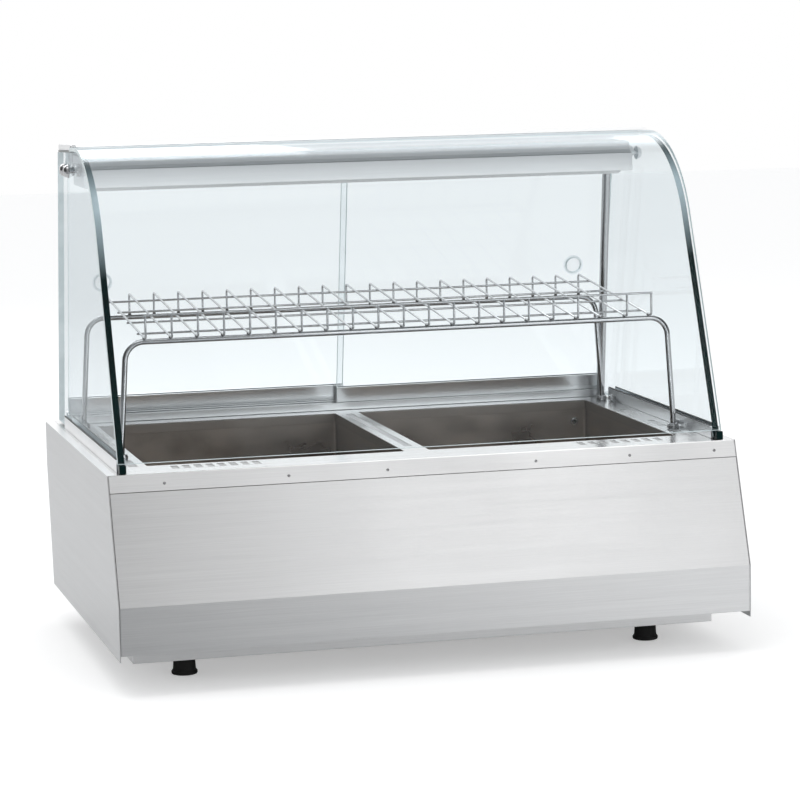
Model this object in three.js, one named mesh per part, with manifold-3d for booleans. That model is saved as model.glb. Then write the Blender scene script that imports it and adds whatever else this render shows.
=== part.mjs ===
// Heated display case for a counter: a stainless base with two heated wells, a glass cabin with a
// lift-up curved front, two sliding rear doors, a heat lamp housing under the roof and a wire shelf.
// Millimetres, +Z up. X runs along the width, -Y is the customer's side, the origin is on the counter
// under the middle of the case.

import * as THREE from 'three';
import { mergeVertices } from 'three/addons/utils/BufferGeometryUtils.js';
import Module from 'manifold-3d';

const wasm = await Module();
wasm.setup();

// Overall sizes
const caseWidth = 740;
const caseDepth = 504;
const deckHeight = 242;
const cabinHeight = 338;

// Shared gaps and sheet
const gap = 0.3;
const overrun = 2;
const sheet = 1.2;
const seam = 0.6;
const smallSides = 12;
const roundSides = 16;
const wideSides = 24;

// Base shell
const bandHeight = 54;
const bandBottom = 48;
const frontTopInset = 50;
const trimHeight = 19;
const sidePanelBottom = 41;
const ledgeWidth = 10.6;
const rearUprightHeight = 52;
const rearBottomInset = 27;
const returnWidth = 16;

// Base pan and feet
const footHeight = 25;
const footBottomRadius = 15;
const footTopRadius = 12;
const footRim = 4;
const footSideInset = 92;
const footEndInset = 108;
const panSideInset = 25;
const panFrontInset = 63;
const panRearInset = 52;

// Wells
const wellSideMargin = 54.7;
const wellDepth = 150;
const wellFrontMargin = 54;
const wellRearMargin = 66.6;
const wellCorner = 2.5;
const wellCornerSteps = 3;
const dividerWidth = 29.4;
const wellFlange = 12;
const tubWall = 1;
const tubRim = 28;

// Slots in the deck
const frontSlotCount = 8;
const frontSlotWidth = 8;
const frontSlotLength = 22;
const frontSlotPitch = 13.4;
const frontSlotInset = 8;
const frontSlotSideInset = 130;
const sideSlotWidth = 10;
const sideSlotLength = 50;
const sideSlotCentreShares = [0.07, 0.31, 0.62];
const dividerSlotWidth = 9;
const dividerSlotFrontMargin = 36;
const dividerSlotRearMargin = 12;

// Overflow fitting in the right well
const overflowRadius = 5;
const overflowNeck = 3.6;
const overflowBore = 2.4;
const overflowReach = 4;
const overflowTail = 5;
const overflowDrop = 27;
const overflowSideInset = 15;

// Glass cabin
const sideGlass = 7.5;
const sideGlassInset = 15;
const frontGlass = 5;
const frontGlassGap = 1;
const frontGlassOverhang = 1.2;
const glassFrontSetback = 11;
const glassBackInset = 12;
const crownRun = 145.86;
const glassLowRadius = 12000;
const glassCrownRadius = 142;
const glassBedGap = 2.6;
const glassArcSteps = [7, 8];
const rearLean = 10;
const roofPitch = 2.5;
const doorGlass = 4;

// Glass channels, their clamps and the rests under the front glass
const channelWall = 1.2;
const channelHeight = 14;
const channelRearGap = 56;
const channelFrontSlack = 1;
const clampRadius = 4.4;
const clampLength = 9;
const clampShankRadius = 2;
const clampRearInset = 29;
const clampShelfGap = 15.5;
const clampCrownShare = 0.7;
const clampEdgeShares = [0.8, 0.3];
const clampNeckShare = 0.6;
const restHeight = 10;
const restDepth = 9;

// Hinge along the top of the front glass
const roofDepth = 92.4;
const hingeEndInset = 3.5;
const knuckleRadius = 3.4;
const hingePinRadius = 1.8;
const knuckleCount = 5;
const hingeLeafDepth = 36;
const leafTaperShare = 3;
const knuckleRelief = 0.5;
const roofSeam = 2.5;
const roofPadInset = 3.5;
const roofOverhang = 2;
const roofWall = 1.4;
const roofRib = 30;

// Lamp housing
const housingRearGap = 28.4;
const housingDepth = 82;
const housingDrop = 3;
const housingHeight = 39.5;
const housingEndGap = 6.5;
const housingLip = 12;
const housingLipRise = 4.5;
const coveDepth = 13;
const coveHeight = 14;
const coveSteps = 4;
const lipShort = 14;

// Lamps and reflector
const lampRadius = 5.5;
const lampNeckShare = 0.6;
const lampPitch = 28;
const lampDrop = 25;
const holderWidth = 18;
const holderInset = 26;
const holderDepth = 48;
const holderHeight = 33;
const lampPocket = 8;
const reflectorSheet = 0.8;
const reflectorDrop = 7;
const reflectorRise = 9;

// Housing bolts through the side glass
const boltPitch = 27;
const boltDrop = 18.5;
const boltRadius = 3;
const boltHole = 4.3;
const boltWasherRadius = 8.5;
const boltWasher = 1.2;
const boltNutRadius = 7.5;
const boltNutLength = 3;
const boltDome = 2.5;
const boltHead = 2.2;
const boltDomeRadiusShare = 0.75;
const boltDomeHeightShare = 0.7;

// Conduit post
const postRadius = 5.1;
const postBore = 3.5;
const postInward = 1.35;
const postSideInset = 30;
const postRearInset = 54;
const postTopDrop = 24;
const collarRadius = 6.8;
const collarHeight = 5;

// Rear doors and tracks, measured in the leaning rear plane
const frontDoorPlane = 20;
const doorPitch = 11;
const doorOverlap = 11;
const trackFront = 27;
const trackRear = 2;
const trackTop = 14;
const grooveDepth = 6;
const doorTongue = 3;
const doorRailThick = 8;
const doorRailHeight = 19;
const doorRailSeat = 12;
const topTrackHeight = 16;
const topGrooveWidth = 7;
const doorTopGap = 5;
const doorSideGap = 1.5;
const pullRadius = 12;
const pullHole = 9.5;
const pullProud = 1.2;
const pullDish = 1.6;
const pullInset = 44;
const pullHeight = 180;

// Wire shelf
const shelfTubeRadius = 3.4;
const shelfTubeHeight = 134;
const shelfLegEnd = 14;
const shelfBend = 22;
const shelfBendSteps = 5;
const shelfTubeSides = 10;
const shelfFootInset = 36.5;
const shelfSplay = 8;
const shelfFrontGap = 47.2;
const shelfRearSetback = 77;
const wireRadius = 1.3;
const wireCount = 21;
const wireSideInset = 66;
const shelfLip = 26;
const shelfRearRise = 24;
const wireBend = 3;
const wireSaddle = 9;
const wireOverhang = 2.5;
const wireNestShare = 1.5;
const wireSides = 6;
const longWireShares = [0.15, 0.4, 0.64, 0.89];
const socketRadius = 7;
const socketHeight = 6;
const socketFloor = 1.5;
const socketClearance = 0.9;

// Heating and controls
const elementRadius = 4;
const elementMargin = 45;
const elementBend = 22;
const elementLegs = 4;
const elementBendSteps = 3;
const elementSides = 8;
const elementTail = 24;
const controlHeight = 84;
const knobRadius = 17;
const knobHeight = 13;
const knobSkirt = 3;
const knobGripRadius = 13;
const knobTaperShare = 0.94;
const shaftReachShare = 0.6;
const knobSideInset = 120;
const shaftRadius = 3;
const shaftFit = 0.35;
const thermostatRadius = 22;
const thermostatDepth = 28;
const switchSideInset = 180;
const switchWidth = 22;
const switchLength = 30;
const switchBezel = 2;
const switchRim = 2.5;
const switchBodyDepth = 18;
const rockerRadius = 30;
const rockerProud = 2.5;
const rockerWellDepth = 6;
const rockerSteps = 6;
const glandSideInset = 70;
const glandRadius = 11;
const glandBore = 4.5;
const glandNutHeight = 6;
const glandCapHeight = 8;
const glandThreadRadius = 8;
const glandInside = 8;
const glandTaperShare = 0.7;

// Places that follow from the sizes above
const halfWidth = caseWidth / 2;
const frontY = -caseDepth / 2;
const backY = caseDepth / 2;
const kinkHeight = bandBottom + bandHeight;
const frontTopY = frontY + frontTopInset;
const trimBottom = deckHeight - trimHeight;
const rearKinkHeight = deckHeight - rearUprightHeight;
const panelInner = halfWidth - sheet - gap;
const deckHalf = halfWidth - ledgeWidth - gap;
const wellFrontY = frontTopY + wellFrontMargin;
const wellBackY = backY - wellRearMargin;
const wellLength = wellBackY - wellFrontY;
const wellWidth = (caseWidth - dividerWidth) / 2 - wellSideMargin;
const wellX = (wellWidth + dividerWidth) / 2;
const glassOuter = halfWidth - sideGlassInset;
const glassInner = glassOuter - sideGlass;
const glassBottom = deckHeight + glassBedGap;
const glassTop = deckHeight + cabinHeight;
const glassFrontY = frontTopY + glassFrontSetback;
const glassBackY = backY - glassBackInset;
const lean = THREE.MathUtils.degToRad(rearLean);
const pitch = THREE.MathUtils.degToRad(roofPitch);
const cabinHalf = glassInner - channelWall - gap;
const roofRearY = rearPlaneY(glassTop, 0);
const hingeFootY = roofRearY - roofDepth;
const glassStart = Math.atan2(hingeFootY - glassFrontY - crownRun, cabinHeight);
const channelFrontY = glassFrontY + channelHeight * Math.tan(glassStart) - channelFrontSlack;
const hingeFootZ = glassTop + (roofRearY - hingeFootY) * Math.tan(pitch);
const hingeHalf = glassOuter + frontGlassOverhang - hingeEndInset;
const hingeRise = roofSeam + knuckleRadius;
const roofTop = hingeRise + knuckleRadius;
const housingTop = glassTop - housingDrop;
const housingBottom = housingTop - housingHeight;
const housingHalf = glassInner - housingEndGap;
const housingBackY = roofRearY - housingRearGap;
const housingFrontY = housingBackY - housingDepth;
const lampY = housingFrontY + housingDepth / 2;
const lampZ = housingTop - lampDrop;
const frontSlotSpread = halfWidth - frontSlotSideInset;
const shelfFrontY = glassFrontY + shelfTubeHeight * Math.tan(glassStart) + shelfFrontGap;
const shelfRearY = backY - shelfRearSetback;
const shelfTopZ = deckHeight + shelfTubeHeight;
const wirePitch = (caseWidth - 2 * wireSideInset) / (wireCount - 1);
const knobX = halfWidth - knobSideInset;
const switchX = halfWidth - switchSideInset;
const glandX = halfWidth - glandSideInset;
const postX = halfWidth - postSideInset;
const postFootY = backY - postRearInset;
const panelSlope = Math.atan2(rearBottomInset, rearKinkHeight - sidePanelBottom);

// Colours of the finishes
const steel = { color: 0xc9cbcc, roughness: 0.34, metalness: 1 };
const wellSteel = { color: 0x77716b, roughness: 0.38, metalness: 1 };
const chrome = { color: 0xd9d9da, roughness: 0.12, metalness: 1 };
const aluminium = { color: 0xc3c7ca, roughness: 0.3, metalness: 1 };
const darkMetal = { color: 0x55524f, roughness: 0.55, metalness: 1 };
const clearGlass = { color: 0xdfeeea, roughness: 0.03, metalness: 0, transparent: true, opacity: 0.35 };
const blackRubber = { color: 0x151515, roughness: 0.75, metalness: 0 };
const blackPlastic = { color: 0x1c1c1d, roughness: 0.45, metalness: 0 };
const clearPlastic = { color: 0xe4e6e6, roughness: 0.25, metalness: 0 };
const quartz = { color: 0xd8c9b4, roughness: 0.15, metalness: 0 };
const ceramic = { color: 0xe6e1d6, roughness: 0.6, metalness: 0 };

// From three.js geometry to solids and back
function solid(geometry) {
  const bare = geometry.clone();
  bare.deleteAttribute('normal');
  bare.deleteAttribute('uv');
  const merged = mergeVertices(bare);
  const corners = merged.index.array;
  const kept = [];
  for (let i = 0; i < corners.length; i += 3) {
    const [a, b, c] = [corners[i], corners[i + 1], corners[i + 2]];
    if (a !== b && b !== c && c !== a) kept.push(a, b, c);
  }
  const vertProperties = new Float32Array(merged.attributes.position.array);
  return new wasm.Manifold(new wasm.Mesh({ numProp: 3, vertProperties, triVerts: new Uint32Array(kept) }));
}

function joined(first, ...others) {
  return others.reduce((sum, piece) => sum.add(piece), first);
}

function cut(body, ...cutters) {
  return cutters.reduce((rest, cutter) => rest.subtract(cutter), body);
}

function shown(manifold) {
  const mesh = manifold.getMesh();
  const geometry = new THREE.BufferGeometry();
  geometry.setAttribute('position', new THREE.BufferAttribute(new Float32Array(mesh.vertProperties), 3));
  geometry.setIndex(new THREE.BufferAttribute(new Uint32Array(mesh.triVerts), 1));
  return geometry;
}

function addPiece(parent, name, body, finish, place = [0, 0, 0]) {
  const mesh = new THREE.Mesh(shown(body), new THREE.MeshStandardMaterial(finish));
  mesh.name = name;
  mesh.position.set(...place);
  parent.add(mesh);
  return mesh;
}

// Basic solids
function block(x0, x1, y0, y1, z0, z1) {
  const geometry = new THREE.BoxGeometry(x1 - x0, y1 - y0, z1 - z0);
  geometry.translate((x0 + x1) / 2, (y0 + y1) / 2, (z0 + z1) / 2);
  return solid(geometry);
}

function extruded(outline, depth) {
  const shape = new THREE.Shape(outline.map(([u, v]) => new THREE.Vector2(u, v)));
  return new THREE.ExtrudeGeometry(shape, { depth, bevelEnabled: false });
}

// An outline in (y, z), drawn out along X
function barX(outline, x0, x1) {
  const geometry = extruded(outline, x1 - x0);
  geometry.applyMatrix4(new THREE.Matrix4().makeBasis(
    new THREE.Vector3(0, 1, 0),
    new THREE.Vector3(0, 0, 1),
    new THREE.Vector3(1, 0, 0),
  ));
  geometry.translate(x0, 0, 0);
  return solid(geometry);
}

// An outline in (x, y), drawn out along Z
function barZ(outline, z0, z1) {
  const geometry = extruded(outline, z1 - z0);
  geometry.translate(0, 0, z0);
  return solid(geometry);
}

// A profile of [radius, height] turned about an axis that points along Z, X or Y
function turned(profile, segments, axis = 'z') {
  const geometry = new THREE.LatheGeometry(profile.map(([r, h]) => new THREE.Vector2(r, h)), segments);
  if (axis === 'z') geometry.rotateX(Math.PI / 2);
  if (axis === 'x') geometry.rotateZ(-Math.PI / 2);
  const body = solid(geometry);
  return body.volume() < 0 ? solid(flipped(geometry)) : body;
}

function flipped(geometry) {
  const copy = geometry.clone();
  const index = copy.index.array;
  for (let i = 0; i < index.length; i += 3) [index[i], index[i + 1]] = [index[i + 1], index[i]];
  return copy;
}

function rod(radius, h0, h1, segments, axis = 'z') {
  return turned([[0, h0], [radius, h0], [radius, h1], [0, h1]], segments, axis);
}

function roundedRect(x0, x1, y0, y1, radius, steps) {
  const centres = [[x1 - radius, y1 - radius], [x0 + radius, y1 - radius], [x0 + radius, y0 + radius],
    [x1 - radius, y0 + radius]];
  const outline = [];
  centres.forEach(([cx, cy], corner) => {
    for (let i = 0; i <= steps; i += 1) {
      const angle = (corner + i / steps) * Math.PI / 2;
      outline.push([cx + radius * Math.cos(angle), cy + radius * Math.sin(angle)]);
    }
  });
  return outline;
}

// Sheet of one thickness that follows an open line and lies on its left side
function folded(line, thickness) {
  const inner = line.map(([u, v], i) => {
    const before = i > 0 ? direction(line[i - 1], line[i]) : direction(line[i], line[i + 1]);
    const after = i < line.length - 1 ? direction(line[i], line[i + 1]) : before;
    const sum = [-(before[1] + after[1]), before[0] + after[0]];
    const size = Math.hypot(...sum);
    const cosHalf = size / 2;
    const reach = thickness / (size * cosHalf);
    return [u + sum[0] * reach, v + sum[1] * reach];
  });
  return [...line, ...inner.reverse()];
}

function direction(from, to) {
  const [u, v] = [to[0] - from[0], to[1] - from[1]];
  const size = Math.hypot(u, v);
  return [u / size, v / size];
}

// A path with its own stations, so that straights stay coarse and bends are fine
class StationPath extends THREE.Curve {
  constructor(stations) {
    super();
    this.stations = stations;
  }

  getPoint(t, target = new THREE.Vector3()) {
    const last = this.stations.length - 1;
    const place = t * last;
    const low = Math.min(Math.floor(place), last - 1);
    return target.copy(this.stations[low]).lerp(this.stations[low + 1], place - low);
  }

  getPointAt(u, target) {
    return this.getPoint(u, target);
  }

  getTangentAt(u, target = new THREE.Vector3()) {
    const last = this.stations.length - 1;
    const here = Math.round(u * last);
    const before = this.stations[Math.max(here - 1, 0)];
    const after = this.stations[Math.min(here + 1, last)];
    const middle = this.stations[here];
    const way = new THREE.Vector3().subVectors(middle, before).normalize();
    way.add(new THREE.Vector3().subVectors(after, middle).normalize());
    return target.copy(way.normalize());
  }
}

// Stations along corner points whose corners are rounded
function roundedStations(corners, radius, steps) {
  const points = corners.map((corner) => new THREE.Vector3(...corner));
  const stations = [points[0]];
  for (let i = 1; i < points.length - 1; i += 1) {
    const into = new THREE.Vector3().subVectors(points[i], points[i - 1]).normalize();
    const out = new THREE.Vector3().subVectors(points[i + 1], points[i]).normalize();
    const turn = into.angleTo(out);
    const start = points[i].clone().addScaledVector(into, -radius * Math.tan(turn / 2));
    const inward = out.clone().addScaledVector(into, -Math.cos(turn)).normalize();
    for (let j = 0; j <= steps; j += 1) {
      const angle = turn * j / steps;
      stations.push(start.clone()
        .addScaledVector(into, radius * Math.sin(angle))
        .addScaledVector(inward, radius * (1 - Math.cos(angle))));
    }
  }
  stations.push(points[points.length - 1]);
  return stations;
}

function bentRod(corners, rodRadius, bendRadius, bendSteps, sides) {
  const stations = roundedStations(corners, bendRadius, bendSteps);
  const ring = [];
  for (let i = 0; i < sides; i += 1) {
    const angle = 2 * Math.PI * (i + 1 / 2) / sides;
    ring.push(new THREE.Vector2(rodRadius * Math.cos(angle), rodRadius * Math.sin(angle)));
  }
  return solid(new THREE.ExtrudeGeometry(new THREE.Shape(ring), {
    steps: stations.length - 1,
    extrudePath: new StationPath(stations),
    bevelEnabled: false,
  }));
}

function placed(manifold, frame) {
  const geometry = shown(manifold);
  frame.updateMatrix();
  geometry.applyMatrix4(frame.matrix);
  return solid(geometry);
}

function moved(manifold, x, y, z) {
  return manifold.translate([x, y, z]);
}

// The front's sloped plane and the glass outline
function slopedFrontY(z) {
  return frontY + frontTopInset * (z - kinkHeight) / (deckHeight - kinkHeight);
}

function slopedRearY(z) {
  return backY - Math.tan(panelSlope) * (rearKinkHeight - z);
}

function rearPlanePoint(inward, up) {
  return [glassBackY - inward * Math.cos(lean) - up * Math.sin(lean),
    deckHeight - inward * Math.sin(lean) + up * Math.cos(lean)];
}

function rearPlaneY(z, inward) {
  return glassBackY - (z - deckHeight) * Math.tan(lean) - inward / Math.cos(lean);
}

// A point in the pitched frame of the roof: behind the hinge, and above the side glass
function roofPoint(back, up) {
  return [hingeFootY + back * Math.cos(pitch) + up * Math.sin(pitch),
    hingeFootZ - back * Math.sin(pitch) + up * Math.cos(pitch)];
}

// Points on the curved front at a distance outside the side glass, from a height up to where the crown
// meets the pitched top
function frontCurve(offset, fromZ) {
  const lowCentre = [glassFrontY + glassLowRadius * Math.cos(glassStart),
    glassBottom - glassLowRadius * Math.sin(glassStart)];
  const blend = glassLowRadius - glassCrownRadius;
  const rise = glassTop + (roofRearY - lowCentre[0]) * Math.tan(pitch) - lowCentre[1];
  const shoulder = pitch + Math.asin((rise * Math.cos(pitch) - glassCrownRadius) / blend);
  const crownCentre = [lowCentre[0] - blend * Math.cos(shoulder), lowCentre[1] + blend * Math.sin(shoulder)];
  const first = Math.asin((fromZ - lowCentre[1]) / (glassLowRadius + offset));
  const arcs = [[lowCentre, glassLowRadius, first, shoulder],
    [crownCentre, glassCrownRadius, shoulder, Math.PI / 2 + pitch]];
  return arcs.flatMap(([centre, radius, from, to], arc) => {
    const points = [];
    const steps = glassArcSteps[arc];
    for (let i = arc; i <= steps; i += 1) {
      const angle = from + (to - from) * i / steps;
      points.push([centre[0] - (radius + offset) * Math.cos(angle),
        centre[1] + (radius + offset) * Math.sin(angle)]);
    }
    return points;
  });
}

// Base shell
function sidePanel(side) {
  const outline = [
    [frontY, sidePanelBottom], [slopedRearY(sidePanelBottom), sidePanelBottom], [backY, rearKinkHeight],
    [backY, deckHeight], [frontTopY, deckHeight], [frontY, kinkHeight],
  ];
  const wall = barX(outline, halfWidth - sheet, halfWidth);
  const ledge = block(halfWidth - ledgeWidth, halfWidth - sheet / 2, frontTopY + sheet + gap, backY,
    deckHeight - sheet, deckHeight);
  const rightPanel = joined(wall, ledge);
  return side > 0 ? rightPanel : rightPanel.mirror([1, 0, 0]);
}

function frontPanel() {
  const top = trimBottom - seam;
  const line = [
    [frontY + returnWidth, bandBottom], [frontY, bandBottom], [frontY, kinkHeight], [slopedFrontY(top), top],
  ].reverse();
  return barX(folded(line, sheet), -panelInner, panelInner);
}

function rearPanel(cutters) {
  const top = deckHeight - sheet - gap;
  const line = [
    [backY, top], [backY, rearKinkHeight], [slopedRearY(bandBottom), bandBottom],
    [slopedRearY(bandBottom) - returnWidth, bandBottom],
  ].reverse();
  return cut(barX(folded(line, sheet), -panelInner, panelInner), ...cutters);
}

function basePan() {
  const rim = bandBottom + sheet + gap;
  const x1 = halfWidth - panSideInset;
  const y0 = frontY + panFrontInset;
  const y1 = backY - panRearInset;
  const tray = block(-x1, x1, y0, y1, footHeight, rim + sheet);
  const inside = block(-x1 + sheet, x1 - sheet, y0 + sheet, y1 - sheet, footHeight + sheet,
    rim + sheet + overrun);
  const rearEdge = slopedRearY(rim) - sheet - gap;
  const flange = block(-panelInner, panelInner, frontY + sheet + gap, rearEdge - sheet, rim, rim + sheet);
  return cut(joined(tray, flange), inside);
}

function slotCutter(cx, cy, width, length) {
  return block(cx - width / 2, cx + width / 2, cy - length / 2, cy + length / 2, deckHeight - sheet - overrun,
    deckHeight + overrun);
}

function deckSlots() {
  const cutters = [];
  const rowY = wellFrontY - frontSlotInset - frontSlotLength / 2;
  for (const side of [-1, 1]) {
    for (let i = 0; i < frontSlotCount; i += 1) {
      const x = side * frontSlotSpread + (i - (frontSlotCount - 1) / 2) * frontSlotPitch;
      cutters.push(slotCutter(x, rowY, frontSlotWidth, frontSlotLength));
    }
    const stripX = side * (wellX + wellWidth / 2 + cabinHalf) / 2;
    for (const share of sideSlotCentreShares) {
      cutters.push(slotCutter(stripX, wellFrontY + share * wellLength, sideSlotWidth, sideSlotLength));
    }
  }
  const dividerFront = wellFrontY + dividerSlotFrontMargin;
  const dividerBack = wellBackY - dividerSlotRearMargin;
  cutters.push(slotCutter(0, (dividerFront + dividerBack) / 2, dividerSlotWidth, dividerBack - dividerFront));
  return cutters;
}

function wellOutline(side, extra) {
  const cx = side * wellX;
  return roundedRect(cx - wellWidth / 2 - extra, cx + wellWidth / 2 + extra, wellFrontY - extra,
    wellBackY + extra, wellCorner + extra, wellCornerSteps);
}

function deckPlate() {
  const topPlate = block(-deckHalf, deckHalf, frontTopY + sheet, backY, deckHeight - sheet, deckHeight);
  const flangeLine = [[frontTopY + returnWidth, deckHeight], [frontTopY, deckHeight],
    [slopedFrontY(trimBottom), trimBottom]];
  const trim = barX(folded(flangeLine, sheet), -panelInner, panelInner);
  const ledgeRelief = [-1, 1].map((side) => {
    const xs = [side * deckHalf, side * (halfWidth + overrun)].sort((a, b) => a - b);
    return block(xs[0], xs[1], frontTopY + sheet, frontTopY + returnWidth + overrun,
      deckHeight - sheet - overrun, deckHeight + overrun);
  });
  const skirts = [-1, 1].map((side) => barZ(wellOutline(side, sheet), deckHeight - wellFlange, deckHeight));
  const openings = [-1, 1].map((side) => barZ(wellOutline(side, 0), deckHeight - wellFlange - overrun,
    deckHeight + overrun));
  const wireHole = moved(rod(postBore, -sheet - overrun, overrun, smallSides), postX, postFootY, deckHeight);
  const body = joined(topPlate, cut(trim, ...ledgeRelief), ...skirts);
  return cut(body, ...openings, ...deckSlots(), wireHole);
}

// The wells' tubs hang under the deck, around its turned-down skirts
function wellTub(side) {
  const skirtGap = sheet + gap;
  const rimTop = deckHeight - sheet - gap;
  const bottom = deckHeight - wellDepth;
  const outer = barZ(wellOutline(side, skirtGap + tubWall), bottom - tubWall, rimTop);
  const inner = barZ(wellOutline(side, skirtGap), bottom, rimTop + overrun);
  const cx = side * wellX;
  const reachX = wellWidth / 2 + tubRim;
  const xs = side > 0 ? [gap / 2, cx + reachX] : [cx - reachX, -gap / 2];
  const rim = block(xs[0], xs[1], wellFrontY - tubRim, wellBackY + tubRim, rimTop - tubWall, rimTop);
  const tub = cut(joined(outer, rim), inner);
  const hole = moved(rod(overflowNeck + gap, -overrun, tubWall + overrun, smallSides, 'y'),
    ...overflowPlace());
  return side > 0 ? cut(tub, hole) : tub;
}

function overflowPlace() {
  return [wellX + wellWidth / 2 - overflowSideInset, wellBackY + sheet + gap, deckHeight - overflowDrop];
}

// A flange inside the tub, with a neck through its wall
function overflowFitting() {
  const front = -gap - overflowReach;
  const ring = turned([[overflowBore, front], [overflowRadius - overflowReach / 4, front],
    [overflowRadius, front + overflowReach / 4], [overflowRadius, -gap], [overflowNeck, -gap],
    [overflowNeck, tubWall + overflowTail], [overflowBore, tubWall + overflowTail],
    [overflowBore, front]], roundSides, 'y');
  return moved(ring, ...overflowPlace());
}

function foot() {
  return turned([[0, 0], [footBottomRadius - footRim / 4, 0], [footBottomRadius, footRim / 4],
    [footBottomRadius, footRim], [footTopRadius, footHeight - gap], [0, footHeight - gap]],
  roundSides);
}

// Channels, clamps and rests
function glassChannel(side) {
  const x0 = glassInner - gap - channelWall;
  const x1 = glassOuter + gap + channelWall;
  const y1 = glassBackY - channelRearGap;
  const floor = deckHeight + gap;
  const bar = block(x0, x1, channelFrontY, y1, floor, floor + channelHeight);
  const groove = block(x0 + channelWall, x1 - channelWall, channelFrontY - overrun, y1 + overrun,
    glassBottom - gap, floor + channelHeight + overrun);
  const holes = clampPlaces().map((y) => moved(rod(clampShankRadius + gap, -overrun,
    channelWall + overrun, smallSides, 'x'), x0, y, clampZ()));
  const right = cut(bar, groove, ...holes);
  return side > 0 ? right : right.mirror([1, 0, 0]);
}

function clampZ() {
  return deckHeight + gap + clampRadius;
}

function clampPlaces() {
  return [shelfFrontY + clampShelfGap, glassBackY - channelRearGap - clampRearInset];
}

// The knob's flat end faces the channel, and its shank ends just short of the glass
function clampKnob(side) {
  const wallFace = glassInner - gap - channelWall;
  const base = wallFace - gap;
  const [outerEdge, innerEdge] = clampEdgeShares.map((share) => base - clampLength * share);
  const profile = [[0, base - clampLength], [clampRadius * clampCrownShare, base - clampLength],
    [clampRadius, outerEdge], [clampRadius, innerEdge], [clampRadius * clampNeckShare, base],
    [clampShankRadius, base], [clampShankRadius, glassInner - gap], [0, glassInner - gap]];
  const knob = turned(profile, smallSides, 'x');
  return side > 0 ? knob : knob.mirror([1, 0, 0]);
}

function glassRest(side) {
  const y1 = channelFrontY - gap;
  const rest = block(glassInner - gap, glassOuter + gap + channelWall, y1 - restDepth - frontGlass, y1,
    deckHeight + gap, deckHeight + restHeight);
  const glassNotch = block(glassInner - gap - overrun, glassOuter + gap, glassFrontY - gap, y1 + overrun,
    glassBottom - gap, deckHeight + restHeight + overrun);
  const right = cut(rest, glassNotch);
  return side > 0 ? right : right.mirror([1, 0, 0]);
}

// Glass
function sideGlassPane(side) {
  const curve = frontCurve(0, glassBottom);
  const outline = [...curve, [roofRearY, glassTop], [rearPlaneY(glassBottom, 0), glassBottom]];
  const pane = barX(outline.reverse(), glassInner, glassOuter);
  const holes = boltPlaces().map((y) => moved(rod(boltHole, -overrun, sideGlass + overrun, smallSides, 'x'),
    glassInner, y, boltZ()));
  const right = cut(pane, ...holes);
  return side > 0 ? right : right.mirror([1, 0, 0]);
}

function frontGlassPane() {
  const lowEdge = deckHeight + restHeight + gap;
  const rearEdge = -knuckleRadius - knuckleRelief;
  const inner = frontCurve(frontGlassGap, lowEdge);
  const outer = frontCurve(frontGlassGap + frontGlass, lowEdge);
  const outline = [...inner, roofPoint(rearEdge, frontGlassGap),
    roofPoint(rearEdge, frontGlassGap + frontGlass), ...outer.reverse()];
  const half = glassOuter + frontGlassOverhang;
  return barX(outline.reverse(), -half, half);
}

// Hinge and roof, in the pitched frame: the pin runs through fixed and moving knuckles in turn
function knuckles(parity) {
  const length = 2 * hingeHalf / knuckleCount;
  const places = [];
  for (let i = parity; i < knuckleCount; i += 2) {
    places.push([-hingeHalf + i * length + (i > 0 ? knuckleRelief / 2 : 0),
      -hingeHalf + (i + 1) * length - (i < knuckleCount - 1 ? knuckleRelief / 2 : 0)]);
  }
  return places;
}

function hingePin() {
  const half = hingeHalf - overrun;
  return moved(rod(hingePinRadius, -half, half, roundSides, 'x'), 0, 0, hingeRise);
}

function hingeBore() {
  const half = hingeHalf + overrun;
  return moved(rod(hingePinRadius + gap, -half, half, roundSides, 'x'), 0, 0, hingeRise);
}

function glassHingeLeaf() {
  const underside = frontGlassGap + frontGlass + gap;
  const rearEdge = -knuckleRadius - knuckleRelief;
  const nose = roofTop - underside;
  const leaf = barX([[rearEdge - hingeLeafDepth, underside], [rearEdge, underside], [rearEdge, roofTop],
    [rearEdge - hingeLeafDepth + leafTaperShare * nose, roofTop]], -hingeHalf, hingeHalf);
  const joints = knuckles(1).flatMap(([x0, x1]) => [
    moved(rod(knuckleRadius, x0, x1, roundSides, 'x'), 0, 0, hingeRise),
    block(x0, x1, rearEdge - overrun, 0, underside, roofTop),
  ]);
  return cut(joined(leaf, ...joints), hingeBore());
}

// A hollow section that stands on the side glasses with a pad at each end
function roofProfile() {
  const front = knuckleRadius + knuckleRelief;
  const back = (roofRearY - hingeFootY) / Math.cos(pitch) + roofOverhang;
  const bar = barX([[front, roofSeam], [back, roofSeam], [back, roofTop - roofWall],
    [back - roofWall, roofTop], [front, roofTop]], -hingeHalf, hingeHalf);
  const hollow = (y0, y1) => block(-hingeHalf - overrun, hingeHalf + overrun, y0, y1,
    roofSeam + roofWall, roofTop - roofWall);
  const hollows = [hollow(front + roofWall, front + roofRib),
    hollow(front + roofRib + roofWall, back - 2 * roofWall)];
  const pads = [[glassInner, glassOuter - roofPadInset], [roofPadInset - glassOuter, -glassInner]]
    .map(([x0, x1]) => block(x0, x1, front, back - roofOverhang, gap, roofSeam + roofWall / 2));
  const joints = knuckles(0).flatMap(([x0, x1]) => [
    moved(rod(knuckleRadius, x0, x1, roundSides, 'x'), 0, 0, hingeRise),
    block(x0, x1, 0, front + roofWall / 2, hingeRise - knuckleRadius, roofTop),
  ]);
  return cut(joined(bar, ...pads, ...joints), ...hollows, hingeBore());
}

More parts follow.
